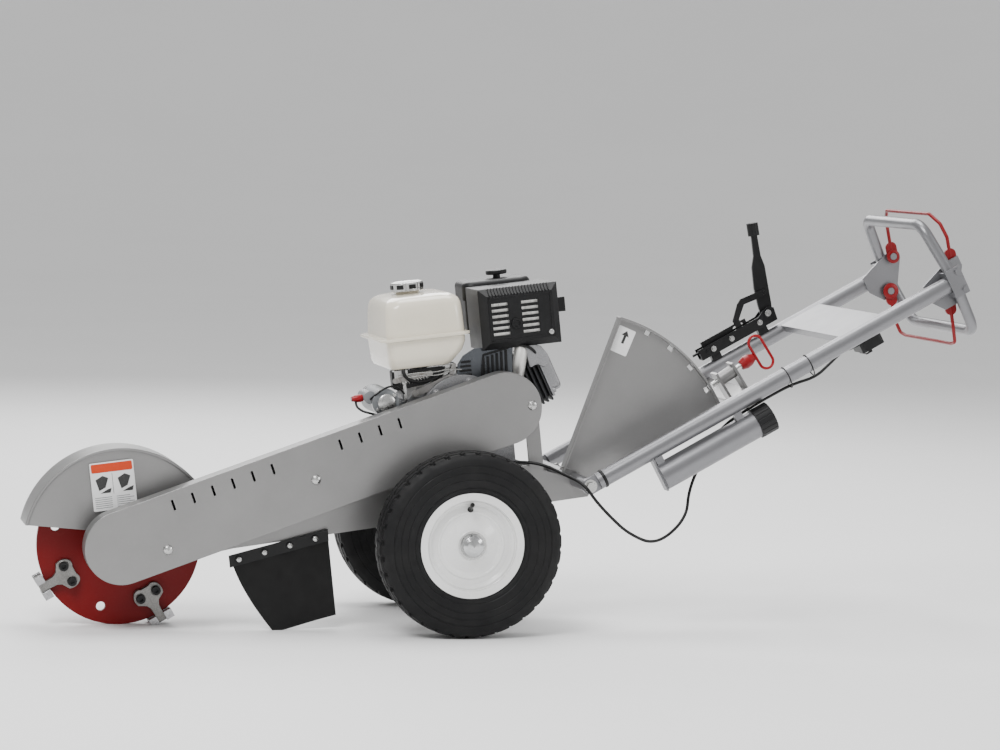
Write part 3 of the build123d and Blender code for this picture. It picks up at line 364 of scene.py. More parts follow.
# ---- building blocks ----------------------------------------------------------------------
BEVEL_ANGLE = math.radians(40)


def finish_piece(obj, key, body, smooth=35.0, bevel=0.0, replaced=()):
    """Give a piece its finish, its edge rounding and the body that it rides on."""
    obj.data.materials.append(MATERIAL[key])
    if obj.type == "MESH":
        obj.data.shade_smooth()
        obj.data.set_sharp_from_angle(angle=math.radians(smooth))
        if bevel:
            rounding = obj.modifiers.new("edges", "BEVEL")
            rounding.width = bevel * MM
            rounding.segments = 2
            rounding.limit_method = "ANGLE"
            rounding.angle_limit = BEVEL_ANGLE
            rounding.harden_normals = True
    if replaced:
        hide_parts(*replaced)
    if body:
        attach(obj, body)
    return obj


def mesh_piece(name, build, key, body, at=None, smooth=35.0, bevel=0.0, replaced=()):
    """Mesh drawn in millimetres by build(bm), in level axes or in the axes of at."""
    bm = bmesh.new()
    build(bm)
    bmesh.ops.recalc_face_normals(bm, faces=bm.faces)
    mesh = bpy.data.meshes.new(name)
    bm.to_mesh(mesh)
    bm.free()
    mesh.transform((at or LEVEL) @ Matrix.Scale(MM, 4))
    obj = bpy.data.objects.new(name, mesh)
    bpy.context.collection.objects.link(obj)
    return finish_piece(obj, key, body, smooth, bevel, replaced)


def curve_piece(name, points, radius, key, body, kind="NURBS", closed=False, sizes=None,
                replaced=()):
    """Round bar or cable along points in metres; radius is in millimetres."""
    data = bpy.data.curves.new(name, "CURVE")
    data.dimensions = "3D"
    data.bevel_depth = radius * MM
    data.bevel_resolution = 5
    data.resolution_u = 12
    data.use_fill_caps = True
    spline = data.splines.new(kind)
    spline.points.add(len(points) - 1)
    for i, point in enumerate(points):
        spline.points[i].co = (*point, 1.0)
        spline.points[i].radius = sizes[i] if sizes else 1.0
    if kind == "NURBS":
        spline.order_u = 3
        spline.use_endpoint_u = not closed
    spline.use_cyclic_u = closed
    spline.use_smooth = True
    obj = bpy.data.objects.new(name, data)
    bpy.context.collection.objects.link(obj)
    return finish_piece(obj, key, body, replaced=replaced)


def bridge(bm, one, two):
    """Band of faces between two rings with the same count of corners."""
    for i in range(len(one)):
        j = (i + 1) % len(one)
        bm.faces.new((one[i], one[j], two[j], two[i]))


def prism(bm, near, far):
    """Closed form between two outlines with the same count of corners."""
    low = [bm.verts.new(corner) for corner in near]
    high = [bm.verts.new(corner) for corner in far]
    bm.faces.new(low)
    bm.faces.new(high[::-1])
    bridge(bm, low, high)


def slab(bm, points, y0, y1):
    """Plate from (x, z) corners between two y values."""
    prism(bm, [(x, y0, z) for x, z in points], [(x, y1, z) for x, z in points])


def box(bm, low, high):
    """Block between two opposite corners."""
    slab(bm, [(low[0], low[2]), (high[0], low[2]), (high[0], high[2]), (low[0], high[2])],
         low[1], high[1])


def turned(bm, profile, centre=(0.0, 0.0, 0.0), axis="Y", steps=64, shape=None):
    """Turned form from (radius, height) points; shape(radius, height, step) alters a radius."""
    rings = []
    for radius, height in profile:
        ring = []
        count = 1 if radius == 0 else steps
        for k in range(count):
            r = shape(radius, height, k) if shape else radius
            a = 2 * math.pi * k / steps
            p, q = r * math.cos(a), r * math.sin(a)
            spot = {"Y": (p, height, q), "Z": (p, q, height), "X": (height, p, q)}[axis]
            ring.append(bm.verts.new(Vector(centre) + Vector(spot)))
        rings.append(ring)
    for one, two in zip(rings, rings[1:]):
        for k in range(steps):
            j = (k + 1) % steps
            corners = [one[k % len(one)], one[j % len(one)], two[j % len(two)], two[k % len(two)]]
            corners = list(dict.fromkeys(corners))
            if len(corners) > 2:
                bm.faces.new(corners)


def hex_head(bm, centre, size, height, side=-1):
    """Chamfered hexagon on a washer, pointing along y to the given side."""
    x, y, z = centre
    rim = size * 1.25
    flat = size * 0.93
    base = 1.6
    seat, chamfer, top = (y + side * h for h in (base, base + height - 1, base + height))
    turned(bm, [(0, y), (rim, y), (rim, seat), (0, seat)], (x, 0, z), steps=28)
    turned(bm, [(0, seat), (size, seat), (size, chamfer), (flat, top), (0, top)], (x, 0, z),
           steps=6)


def oval(xa, za, xb, zb, radius, steps=10):
    """Corners of a round-ended strip."""
    turn = math.atan2(zb - za, xb - xa)
    corners = []
    for x, z, start in ((xb, zb, turn - math.pi / 2), (xa, za, turn + math.pi / 2)):
        for k in range(steps + 1):
            a = start + math.pi * k / steps
            corners.append((x + radius * math.cos(a), z + radius * math.sin(a)))
    return corners


def rounded(x0, z0, x1, z1, radius, steps=5):
    """Corners of a rectangle with round corners."""
    corners = []
    for x, z, start in ((x1 - radius, z1 - radius, 0), (x0 + radius, z1 - radius, 90),
                        (x0 + radius, z0 + radius, 180), (x1 - radius, z0 + radius, 270)):
        for k in range(steps + 1):
            a = math.radians(start + 90 * k / steps)
            corners.append((x + radius * math.cos(a), z + radius * math.sin(a)))
    return corners


WELD_RIPPLE = 1.7


def weld(name, start, end, body, radius=2.4):
    """Bead of overlapping ripples along a joint, between two points in metres."""
    count = max(6, int((end - start).length / (WELD_RIPPLE * MM)))
    points = [start.lerp(end, i / (count - 1)) for i in range(count)]
    sizes = [0.2] + [1.0 if i % 2 else 0.78 for i in range(1, count - 1)] + [0.2]
    curve_piece(name, points, radius, "silver", body, "POLY", sizes=sizes)


# ---- floor and light ----------------------------------------------------------------------
FLOOR_PROFILE = ((0, 0), (6, 0), (15, 0), (18, 0.25), (21, 1.0), (24, 2.6), (26.5, 5.2), (28, 9),
                 (28.5, 13))
WORLD_STRENGTH = 0.72
AIM = Vector((0.0, 0.0, 0.4))
# name, place and size in metres, watts
LAMPS = (
    ("key", (-2.5, -3.0, 4.5), 2.2, 230.0),
    ("top", (0.2, 0.8, 4.5), 2.6, 150.0),
    ("fill", (4.0, -3.0, 2.0), 1.6, 50.0),
    ("back", (0.0, 4.5, 3.5), 3.0, 170.0),
)


def make_studio():
    """Pale floor that curves up far behind the object, even sky light and four soft lamps."""
    bm = bmesh.new()
    turned(bm, FLOOR_PROFILE, axis="Z", steps=72)
    mesh = bpy.data.meshes.new("floor")
    bm.to_mesh(mesh)
    bm.free()
    mesh.shade_smooth()
    floor = bpy.data.objects.new("floor", mesh)
    bpy.context.collection.objects.link(floor)
    m = Nodes("floor_pale")
    m.set(Roughness=0.85)
    m.colour(m.ramp(m.noise(0.8, 3.0), [(0.3, (0.90, 0.90, 0.90)), (0.7, (0.92, 0.92, 0.92))]))
    floor.data.materials.append(m.material)
    world = bpy.data.worlds.new("studio")
    bpy.context.scene.world = world
    world.use_nodes = True
    background = world.node_tree.nodes["Background"]
    background.inputs["Color"].default_value = (1.0, 1.0, 1.0, 1.0)
    background.inputs["Strength"].default_value = WORLD_STRENGTH
    for name, place, size, watts in LAMPS:
        data = bpy.data.lights.new(name, "AREA")
        data.size = size
        data.energy = watts
        lamp = bpy.data.objects.new(name, data)
        bpy.context.collection.objects.link(lamp)
        lamp.location = place
        lamp.rotation_euler = (AIM - Vector(place)).to_track_quat("-Z", "Y").to_euler()


# ---- control cable ------------------------------------------------------------------------
CABLE_R = 3.5
# Points of the three runs: the first two in handle axes, the last in level axes.
ON_HANDLE = ((700, -160, -26), (664, -160, -26), (622, -184, -30), (570, -202, -38),
             (515, -203, -25.5), (456, -202, -24.3), (398, -203, -25), (340, -171, -38),
             (284, -171, -66), (238, -174, -99))
IN_LOOP = ((238, -174, -99), (203.5, -176.25, -123.75), (165, -191, -178), (72, -214, -190),
           (25, -233, -132), (4, -240, -76), (-9, -240, -28))
ON_FRAME = ((281, -236, 77.3), (271.4, -232.2, 95.7), (244, -180, 114), (205, -132, 139),
            (150, -112, 148), (108, -110, 144), (80, -92, 142), (80, -60, 142))


def make_cable():
    """Control cable: two fixed runs, and the slack loop between them, baked to a fixed mesh."""
    curve_piece("control_cable_upper", [on_tube(*p) for p in ON_HANDLE], CABLE_R, "cable", "handle",
                replaced=("control_cable_handle",))
    curve_piece("control_cable_lower", [level(*p) for p in ON_FRAME], CABLE_R, "cable", "frame",
                replaced=("control_cable_frame",))
    meet = level(*ON_FRAME[0])
    path = [on_tube(*p) for p in IN_LOOP] + [meet]
    source = curve_piece("loop_source", path, CABLE_R, "cable", None)
    bpy.context.view_layer.update()
    made = source.evaluated_get(bpy.context.evaluated_depsgraph_get())
    mesh = bpy.data.meshes.new_from_object(made)
    bpy.data.objects.remove(source)
    loop = bpy.data.objects.new("control_cable_slack", mesh)
    bpy.context.collection.objects.link(loop)
    mesh.materials.clear()
    finish_piece(loop, "cable", None, smooth=80, replaced=("control_cable_loop",))
    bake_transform(loop)


# ---- wheels -------------------------------------------------------------------------------
TREAD_STEPS = 288
BLOCK_STEPS = 8
TREAD_FROM = 198
SHOULDER_FROM = 28
# Half section from the bead over the sidewall rings to the middle of the tread.
TYRE_SIDE = [
    (112.0, 27.0), (103.0, 34.0), (106.0, 38.5), (117.5, 40.6), (119.5, 43.0), (124.0, 44.6),
    (126.0, 44.0), (128.5, 46.4), (143.0, 49.4), (144.2, 48.6), (146.0, 50.0), (158.0, 50.4),
    (159.4, 49.4), (161.0, 50.4), (172.0, 49.9), (174.0, 48.2), (176.0, 49.2), (185.0, 46.6),
    (191.0, 43.6), (195.0, 40.0), (198.2, 38.0), (199.6, 33.0), (200.4, 29.4), (195.5, 28.4),
    (195.5, 25.8), (201.2, 24.8), (202.0, 17.0), (202.2, 11.2), (196.5, 10.4), (196.5, 7.8),
    (202.6, 7.0), (202.9, 2.0),
]
TYRE_PROFILE = TYRE_SIDE + [(r, -h) for r, h in reversed(TYRE_SIDE)]
TYRE_PROFILE += [(112.0, -27.0), (112.0, 27.0)]
VALVE_STEM = ((0, 21), (6.5, 21), (6.5, 25), (4.6, 27), (4.0, 44), (4.8, 45), (4.8, 52), (0, 53))


def tread(radius, height, step):
    """Outer ribs are cut by blocks, inner ribs by short sipes."""
    if radius < TREAD_FROM:
        return radius
    if abs(height) > SHOULDER_FROM:
        return radius - (5.5 if step % BLOCK_STEPS in (0, 1) else 0.0)
    shift = BLOCK_STEPS // 2 if height > 0 else 0
    return radius - (2.2 if (step + shift) % BLOCK_STEPS == 0 else 0.0)


def make_wheel(name, side):
    """Ribbed tyre, valve stem, pressed rings of the rim and hub washer."""
    body = name + "_wheel"
    centre = Matrix.Translation(Vector((AXLE.x, side * WHEEL_Y, AXLE.z))) @ LEVEL.to_3x3().to_4x4()

    def rubber_ring(bm):
        turned(bm, TYRE_PROFILE, steps=TREAD_STEPS, shape=tread)

    mesh_piece(name + "_tyre_ribbed", rubber_ring, "tyre", body, centre, 28,
               replaced=(name + "_tyre",))

    def stem(bm):
        turned(bm, VALVE_STEM, axis="Z", steps=20)

    lean = Matrix.Rotation(side * math.radians(-62), 4, "X")
    place = centre @ Matrix.Translation(Vector((6.0, side * 3.0, 66.0)) * MM) @ lean
    mesh_piece(name + "_valve_stem", stem, "cable", body, place, 50)

    def rings(bm):
        for r, h in ((71.0, 23.4), (94.0, 27.6)):
            turned(bm, [(r + out, side * (h + up)) for out, up in
                        ((-4.5, -1.2), (-2.4, 1.3), (0, 2.2), (2.4, 1.3), (4.5, -1.2))], steps=96)
        for k in range(2):
            turned(bm, [(26 + 4 * k, side * 35), (27 + 4 * k, side * (36.4 - k)),
                        (29 + 4 * k, side * (34.6 - k))], steps=72)

    mesh_piece(name + "_rim_pressing", rings, "white", body, centre, 60)

    def washer(bm):
        turned(bm, [(13.2, side * 35), (31, side * 35), (31, side * 36.6),
                    (13.2, side * 36.6)], steps=48)

    mesh_piece(name + "_hub_washer", washer, "zinc", body, centre, 30)


# ---- cutter -------------------------------------------------------------------------------
STATIONS = (30.0, 120.0, 210.0, 300.0)
DISC_FACE = 6.0
SHOE_THICK = 14.0


def tooth_outline():
    """Shoe round the two bolts, waisted neck and T-shaped head, pointing along +x."""
    shoe = [(130 + 21 * math.cos(math.radians(a)), 17 + 16 * math.sin(math.radians(a)))
            for a in range(60, 211, 15)]
    low = [(x, -z) for x, z in shoe]
    neck = [(150, 15), (160, 10), (178, 9), (181, 12), (182, 25), (196, 25)]
    mirrored = [(x, -z) for x, z in reversed(neck)]
    return neck + mirrored + low + shoe[::-1]


def round_disc(bm, build):
    """Copies of what build(bm, face) draws, on both faces of the disc at every station."""
    for station in STATIONS:
        for face in (-1, 1):
            part = bmesh.new()
            build(part, face)
            mesh = bpy.data.meshes.new("tooth_part")
            part.to_mesh(mesh)
            part.free()
            mesh.transform(Matrix.Rotation(-math.radians(station), 4, "Y"))
            bm.from_mesh(mesh)
            bpy.data.meshes.remove(mesh)


def make_teeth():
    """Forged shoes with two bolt collars each, and the carbide tips on their heads."""
    def shoe(bm, face):
        slab(bm, tooth_outline(), face * DISC_FACE, face * (DISC_FACE + SHOE_THICK))
        for z in (-19, 19):
            turned(bm, [(11.5, face * 19.5), (11.5, face * 21), (9.8, face * 21),
                        (9.8, face * 19.5)], (128.6, 0, z), steps=28)

    def tip(bm, face):
        y0, y1 = sorted((face * 13, face * 27))
        for z0, z1 in ((-27.5, -9), (9, 27.5)):
            box(bm, (178, y0, z0), (197.5, y1, z1))

    centre = Matrix.Translation(Vector((CUTTER.x, 0, CUTTER.z)))
    mesh_piece("cutter_teeth_forged", lambda bm: round_disc(bm, shoe), "tooth", "cutter", centre,
               30, 1.6, ("cutter_teeth",))
    mesh_piece("carbide_tips", lambda bm: round_disc(bm, tip), "carbide", "cutter", centre, 30,
               0.8)


# ---- chip flap ----------------------------------------------------------------------------
FLAP_LEFT, FLAP_CORNER, FLAP_RIGHT = -500, -423, -281
FLAP_LOW = -157
FLAP_FACE = -100.4
FLAP_THICK = 5.2
FLAP_SLOPE = 0.137
FLAP_BOLTS = (-482.0, -425.0, -368.0, -311.0)


def flap_line(base, x):
    """Height at x of a line along the sloping clamp strip, base high at the first bolt."""
    return base + FLAP_SLOPE * (x - FLAP_BOLTS[0])


def make_flap():
    """Rubber flap, clamped along its top edge and curling a little at the free corner."""
    columns, rows = 26, 22

    def corner(side, s, t):
        """s runs from the free edge to the wheel and t from the top edge down."""
        left = FLAP_LEFT + 20 * (1 - (1 - t) ** 1.5) + 57 * t ** 2
        x = left + (FLAP_RIGHT - left) * s
        top = flap_line(23.5, x)
        past = max(0.0, (x - FLAP_CORNER) / (FLAP_RIGHT - FLAP_CORNER))
        bottom = FLAP_LOW + 18 * past
        curl = 9.0 * t ** 2 * (1 - s) + 3.0 * math.sin(5 * s + 1) * t
        return (x, FLAP_FACE - FLAP_THICK * side - curl, top + (bottom - top) * t)

    def sheet(bm):
        grid = {}
        for side in (0, 1):
            for i in range(columns + 1):
                for j in range(rows + 1):
                    grid[side, i, j] = bm.verts.new(corner(side, i / columns, j / rows))
        for i in range(columns):
            for j in range(rows):
                for side in (0, 1):
                    bm.faces.new([grid[side, i, j], grid[side, i + 1, j],
                                  grid[side, i + 1, j + 1], grid[side, i, j + 1]])
        rim = [(i, 0) for i in range(columns)] + [(columns, j) for j in range(rows)]
        rim += [(i, rows) for i in range(columns, 0, -1)] + [(0, j) for j in range(rows, 0, -1)]
        for one, two in zip(rim, rim[1:] + rim[:1]):
            bm.faces.new([grid[(0, *one)], grid[(0, *two)], grid[(1, *two)], grid[(1, *one)]])

    mesh_piece("chip_flap_sheet", sheet, "flap", "frame", None, 50, 0.8, ("chip_flap",))


# ---- stickers -----------------------------------------------------------------------------
GUARD_FACE = -57.5
QUADRANT_FACE = -78.3
ARROW = ((23, 6), (32, 18), (26, 18), (26, 36), (20, 36), (20, 18), (14, 18))


def make_guard_sticker():
    """Plain panel on the cutter guard with a band, two plain marks and stripes."""
    guard = GUARD_FACE

    def panel(x0, x1, z0, z1, y):
        return lambda bm: slab(bm, rounded(x0, z0, x1, z1, 3.0), y - 0.5, y)

    mesh_piece("guard_sticker_panel", panel(-776, -681, 146, 251, guard), "sticker", "frame",
               bevel=0.2)
    mesh_piece("guard_sticker_band", panel(-773, -684, 229, 248, guard - 0.5), "orange", "frame",
               bevel=0.1)

    def marks(bm):
        for x in (-760, -712):
            slab(bm, [(x, 190), (x + 14, 196), (x + 22, 216), (x + 10, 222), (x - 6, 214)],
                 guard - 0.9, guard - 0.5)
            slab(bm, [(x + 2, 184), (x + 24, 184), (x + 27, 194), (x + 17, 191)],
                 guard - 0.9, guard - 0.5)
        box(bm, (-729.6, guard - 0.8, 181), (-728.8, guard - 0.5, 226))

    mesh_piece("guard_sticker_marks", marks, "ink", "frame")

    def stripes(bm):
        for k in range(6):
            z = 152 + 4.4 * k
            box(bm, (-771, guard - 0.7, z), (-734, guard - 0.5, z + 1.3))
            box(bm, (-724, guard - 0.7, z), (-686 - 9 * (k % 2), guard - 0.5, z + 1.3))

    mesh_piece("guard_sticker_stripes", stripes, "grey", "frame")


def make_quadrant_sticker():
    """Plain panel on the quadrant with a lift arrow and three stripes."""
    face = QUADRANT_FACE
    corner = Vector((426.0, 0.0, 419.5))
    along = (Vector((470.5, 0.0, 394.7)) - corner).normalized()
    down = Vector((along.z, 0.0, -along.x))

    def placed(points):
        spots = [corner + along * a + down * b for a, b in points]
        return [(spot.x, spot.z) for spot in spots]

    def sheet(bm):
        slab(bm, placed(rounded(1, 0, 43, 60, 3.0)), face - 0.5, face)
        for k in range(3):
            slab(bm, placed(rounded(9, 42 + 5 * k, 35, 43.4 + 5 * k, 0.6)), face - 0.7, face - 0.5)

    def arrow(bm):
        slab(bm, placed(ARROW), face - 0.9, face - 0.5)

    mesh_piece("quadrant_sticker", sheet, "sticker", "frame", bevel=0.2)
    mesh_piece("quadrant_arrow", arrow, "ink", "frame")


# ---- engine -------------------------------------------------------------------------------
def make_fuel_cap():
    """Plated cap with a fluted skirt, and eight black patches as painted shade of vent slots."""
    low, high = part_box("fuel_cap")
    middle = LEVEL.inverted() @ ((low + high) / 2)
    x, y, z = (c / MM for c in middle)

    def skirt(r, h, k):
        return r - (0.8 if r > 34 and k % 6 < 3 else 0.0)

    def cap(bm):
        turned(bm, [(25.0, z - 10.2), (35.4, z - 10.2), (36.6, z - 9), (36.6, z + 7.6),
                    (35.2, z + 9.4), (31.5, z + 10.2), (29.5, z + 9.2), (0, z + 9.2)],
               (x, y, 0), "Z", 144, skirt)

    mesh_piece("fuel_cap_plated", cap, "zinc", "fuel_cap", smooth=30, replaced=("fuel_cap",))

    # The vents are not cut: black patches on the skirt are painted shade standing for the inside of
    # vent slots.
    def vents(bm):
        for k in range(8):
            turn = math.radians(45 * k + 8)
            across = Vector((-math.sin(turn), math.cos(turn), 0))
            out = Vector((math.cos(turn), math.sin(turn), 0))
            inner, outer = ([Vector((x, y, z)) + out * reach + across * a + Vector((0, 0, b))
                             for a, b in ((-8, -4.5), (8, -4.5), (8, 5), (-8, 5))]
                            for reach in (34.0, 36.95))
            prism(bm, inner, outer)

    mesh_piece("fuel_cap_vent_shade", vents, "black", "fuel_cap", bevel=0.4)


# Height, left, right, front, back and corner radius of the tank at each level.
TANK_LEVELS = (
    (374.5, -90, 30, -62, 124, 14), (377, -97, 38, -76, 138, 20), (386, -101, 48, -83, 145, 24),
    (404, -102, 66, -87, 148, 24), (424, -103, 74, -89, 149.5, 22),
    (437, -104, 74.5, -89.5, 150, 22), (439.5, -119, 86, -98, 158, 28),
    (444.5, -119, 86, -98, 158, 28), (446.5, -103, 75, -90, 150, 26),
    (486, -100, 74.5, -89.5, 149.5, 27), (510, -97, 73, -88, 148, 28),
    (520, -93.5, 69.5, -84, 144, 30), (526.5, -87, 63, -77, 137, 32), (531, -77, 53, -66, 126, 32),
    (533.6, -60, 36, -46, 106, 30),
)
FILLER_NECK = ((31, 531), (27, 535), (25, 538), (24, 539), (24, 547.5), (20.5, 547.5), (20.5, 525))


def make_tank():
    """Blow-moulded tank: soft shoulders, tucked-in underside and a welded seam flange."""
    def shell(bm):
        rings = []
        for z, left, right, front, back, radius in TANK_LEVELS:
            outline = rounded(left, front, right, back, radius, 8)
            rings.append([bm.verts.new((x, y, z)) for x, y in outline])
        for one, two in zip(rings, rings[1:]):
            bridge(bm, one, two)
        bm.faces.new(rings[0][::-1])
        bm.faces.new(rings[-1])
        turned(bm, FILLER_NECK, (-24, 30, 0), "Z", 48)

    mesh_piece("fuel_tank_moulded", shell, "cream", "frame", smooth=50, bevel=0.6,
               replaced=("fuel_tank",))


def make_muffler_guard():
    """Bright heat shield, louvre slats, border ridge with a boss, ribs on the bevel, one screw."""
    face = -92.0
    rib_width, rib_depth = 1.3, 1.7

    def shield(bm):
        for k in range(20):
            x = 128 + 6.1 * k
            y = face + 4.5 + 0.9 * (k % 2)
            slab(bm, rounded(x, 424, x + 6.6, 506, 2.0), y, y + 1.0)

    mesh_piece("muffler_heat_shield", shield, "pale", "frame", bevel=0.4)

    def slats(bm):
        for column in (154.0, 222.0):
            for i in range(5):
                z = 440.0 + 13.0 * i
                box(bm, (column - 19, face - 1.2, z - 3.2), (column + 19, face + 0.3, z - 2.0))

    mesh_piece("muffler_guard_louvres", slats, "black", "frame", bevel=0.4)

    def ridge(bm):
        corners = [(131, 416), (270, 416), (270, 511), (131, 511)]
        for (xa, za), (xb, zb) in zip(corners, corners[1:] + corners[:1]):
            slab(bm, oval(xa, za, xb, zb, 1.8, 6), face - 1.6, face + 0.2)
        turned(bm, [(0, face - 1), (7.0, face - 1), (8.0, face - 5), (11, face - 5),
                    (12, face - 3.5), (12, face)], (188, 0, 450), steps=32)

    mesh_piece("muffler_guard_ridges", ridge, "black", "frame", bevel=0.4)

    def ribs(bm):
        low, high = (face + 0.5, 515.5), (face + 15.5, 530.5)
        outline = (low, high, (high[0] - rib_depth, high[1] + rib_depth),
                   (low[0] - rib_depth, low[1] + rib_depth))
        for k in range(20):
            x = 133 + 7.1 * k
            prism(bm, [(x - rib_width, y, z) for y, z in outline],
                  [(x + rib_width, y, z) for y, z in outline])

    mesh_piece("muffler_guard_ribs", ribs, "black", "frame", bevel=0.3)

    def screws(bm):
        turned(bm, [(0, face - 4), (4.5, face - 3.6), (6, face - 2), (6, face)], (266, 0, 423),
               steps=24)

    mesh_piece("muffler_guard_screws", screws, "zinc", "frame")


def make_shroud():
    """Blue-grey cover and grilles on the cylinder, pale head cowl and bright exhaust pipe."""
    y0, y1 = -67.0, -64.0
    grille_face = y0 - 3.4

    def cover(bm):
        slab(bm, [(46, 318), (52, 372), (66, 390), (92, 403), (182, 403), (180, 388), (174, 330),
                  (146, 300)], y0, y1)

    mesh_piece("cylinder_shroud", cover, "shroud", "frame", bevel=1.2)

    def cowl(bm):
        slab(bm, [(206, 396), (224, 400), (244, 392), (258, 372), (262, 352), (248, 344),
                  (230, 352), (214, 346)], -74, -62.5)

    mesh_piece("cylinder_head_cowl", cowl, "alloy", "frame", bevel=3.0)
    pipe = [level(202, -48, 411), level(200, -64, 396), level(195, -69, 372),
            level(190, -64, 346), level(188, -50, 326)]
    curve_piece("exhaust_pipe_bright", pipe, 15.0, "pale", "frame")

    def grille(bm):
        for k in range(6):
            z = 326 + 9.5 * k
            inset = 5 * abs(k - 2.5) / 2.5
            slab(bm, [(55 + inset, z), (82, z), (82, z + 4.6), (55 + inset, z + 4.6)],
                 grille_face, y0)
        for k in range(6):
            x = 105 + 10.5 * k
            top = 380 + 2.4 * k
            slab(bm, [(x, 322), (x + 5.4, 322), (x + 9, top), (x + 3.6, top)], grille_face, y0)
        for ends in ((100, 320, 112, 384), (100, 320, 164, 320), (112, 386, 170, 396)):
            slab(bm, oval(*ends, 2.2, 6), y0 - 3.0, y0)

    mesh_piece("cylinder_grilles", grille, "black", "frame", bevel=0.5)


STARTER = (-118, 0, 308)


def around(centre, radius, angles):
    """(x, z) spots on a circle at angles in degrees."""
    return [(centre[0] + radius * math.cos(math.radians(a)),
             centre[1] + radius * math.sin(math.radians(a))) for a in angles]


def make_governor():
    """Governor levers, throttle plate, spring and rod under the tank."""
    face = -64.0

    def linkage(bm):
        slab(bm, oval(-49, 318, 34, 346, 7.5), face - 4, face - 1)
        slab(bm, oval(34, 346, 44, 372, 5), face - 4, face - 1)
        slab(bm, oval(-92, 352, -12, 360, 6), face - 8, face - 5.5)
        hex_head(bm, (-49, face - 4, 318), 7, 5)
        hex_head(bm, (34, face - 4, 346), 4.5, 4)
        hex_head(bm, (-84, face - 8, 353), 4.5, 4)

    mesh_piece("governor_linkage", linkage, "steel", "frame", bevel=0.5)

    def plate(bm):
        slab(bm, [(-98, 338), (-88, 330), (-20, 338), (10, 352), (14, 372), (-98, 372)], face - 5,
             face - 2)

    mesh_piece("throttle_plate", plate, "black", "frame", bevel=0.8)
    turns, steps, coil = 9, 12, 4
    last = turns * steps
    spring = [level(-80 + 62 * t / last, face - 9 + coil * math.cos(t * math.pi / 6),
                    344 + 9 * t / last + coil * math.sin(t * math.pi / 6))
              for t in range(last + 1)]
    curve_piece("governor_spring", spring, 0.7, "zinc", "frame")
    rod = [level(-84, face - 8, 362), level(-40, face - 9, 366), level(0, face - 8, 361),
           level(30, face - 7, 366), level(60, face - 6, 360)]
    curve_piece("throttle_rod", rod, 1.4, "zinc", "frame")


def make_engine_details():
    """Starter cap and bands, bolts, oil filler cap and switch box."""

    def motor(bm):
        turned(bm, [(0, -89), (15, -88.6), (19.4, -86), (19.4, -84)], STARTER, steps=48)
        turned(bm, [(30.4, -70), (30.4, -64), (30.0, -63)], STARTER, steps=64)
        turned(bm, [(30.4, 50), (30.4, 58), (30.0, 60)], STARTER, steps=64)
        for x, z in around((STARTER[0], STARTER[2]), 24, (35, 215)):
            hex_head(bm, (x, -76, z), 3.6, 4)

    mesh_piece("starter_end_cap", motor, "zinc", "frame", bevel=0.4)

    def bolts(bm):
        for x in (-50, 40, 130):
            turned(bm, [(0, 131.8), (10, 131.8), (10, 130)], (x, -69, 0), "Z", 28)
            turned(bm, [(0, 139), (7, 138.6), (7.6, 137.6), (7.6, 131.8)], (x, -69, 0), "Z", 6)
        for x, z in around((50, 252), 84, (20, 75, 130, 185)):
            hex_head(bm, (x, -88, z), 5, 4.5)
        for x in (-40, 125):
            turned(bm, [(0, 106), (9, 106.4), (9, 113.8)], (x, 45, 0), "Z", 6)

    mesh_piece("engine_bolts", bolts, "zinc", "frame", bevel=0.3)

    def plugs(bm):
        turned(bm, [(0, -84), (13, -84), (15, -82), (15, -76), (12, -74), (12, -68)],
               (0, -30, 176), "X", 24)
        box(bm, (-88, -33, 164), (-84, -27, 188))
        turned(bm, [(0, 168.5), (15, 168.2), (17, 166)], (50, 0, 252), steps=40)

    mesh_piece("oil_filler_cap", plugs, "grey", "frame", bevel=0.8)

    def switch(bm):
        slab(bm, rounded(-66, 316, -26, 360, 5.0), 82, 108)
        slab(bm, rounded(-64, 318, -28, 358, 4.0), 108, 112)
        slab(bm, oval(-56, 350, -36, 350, 3, 6), 112, 113.5)
        for x in (-60, -32):
            turned(bm, [(0, 113.6), (2.6, 113.4), (3.4, 112)], (x, 0, 322), steps=16)

    mesh_piece("engine_switch_box", switch, "plastic", "frame", bevel=2.0)

    def rocker(bm):
        slab(bm, rounded(-55, 326, -37, 342, 2.0), 112, 114)
        slab(bm, rounded(-53.5, 334, -38.5, 341, 1.5), 114, 116.5)

    mesh_piece("engine_switch", rocker, "red_plastic", "frame", bevel=1.0)


# name, radius, material and points in level axes
RUNS = (
    ("fuel_hose", 3.6, "cable", ((-70, -70, 378), (-74, -78, 366), (-62, -80, 350),
                                 (-30, -76, 342), (2, -70, 350), (16, -62, 358))),
    ("starter_lead", 2.6, "cable", ((-180, -54, 318), (-184, -62, 308), (-174, -76, 296),
                                    (-158, -84, 290), (-142, -84, 284))),
    ("ground_lead", 2.2, "cable", ((-150, -66, 318), (-138, -80, 330), (-112, -82, 344),
                                   (-86, -76, 340), (-74, -70, 322))),
    ("spark_lead", 3.2, "cable", ((150, -60, 408), (176, -74, 404), (206, -82, 398),
                                  (228, -76, 384), (236, -64, 366))),
    ("choke_rod", 1.5, "zinc", ((-66, -74, 356), (-30, -76, 360), (6, -72, 352), (40, -70, 362))),
)


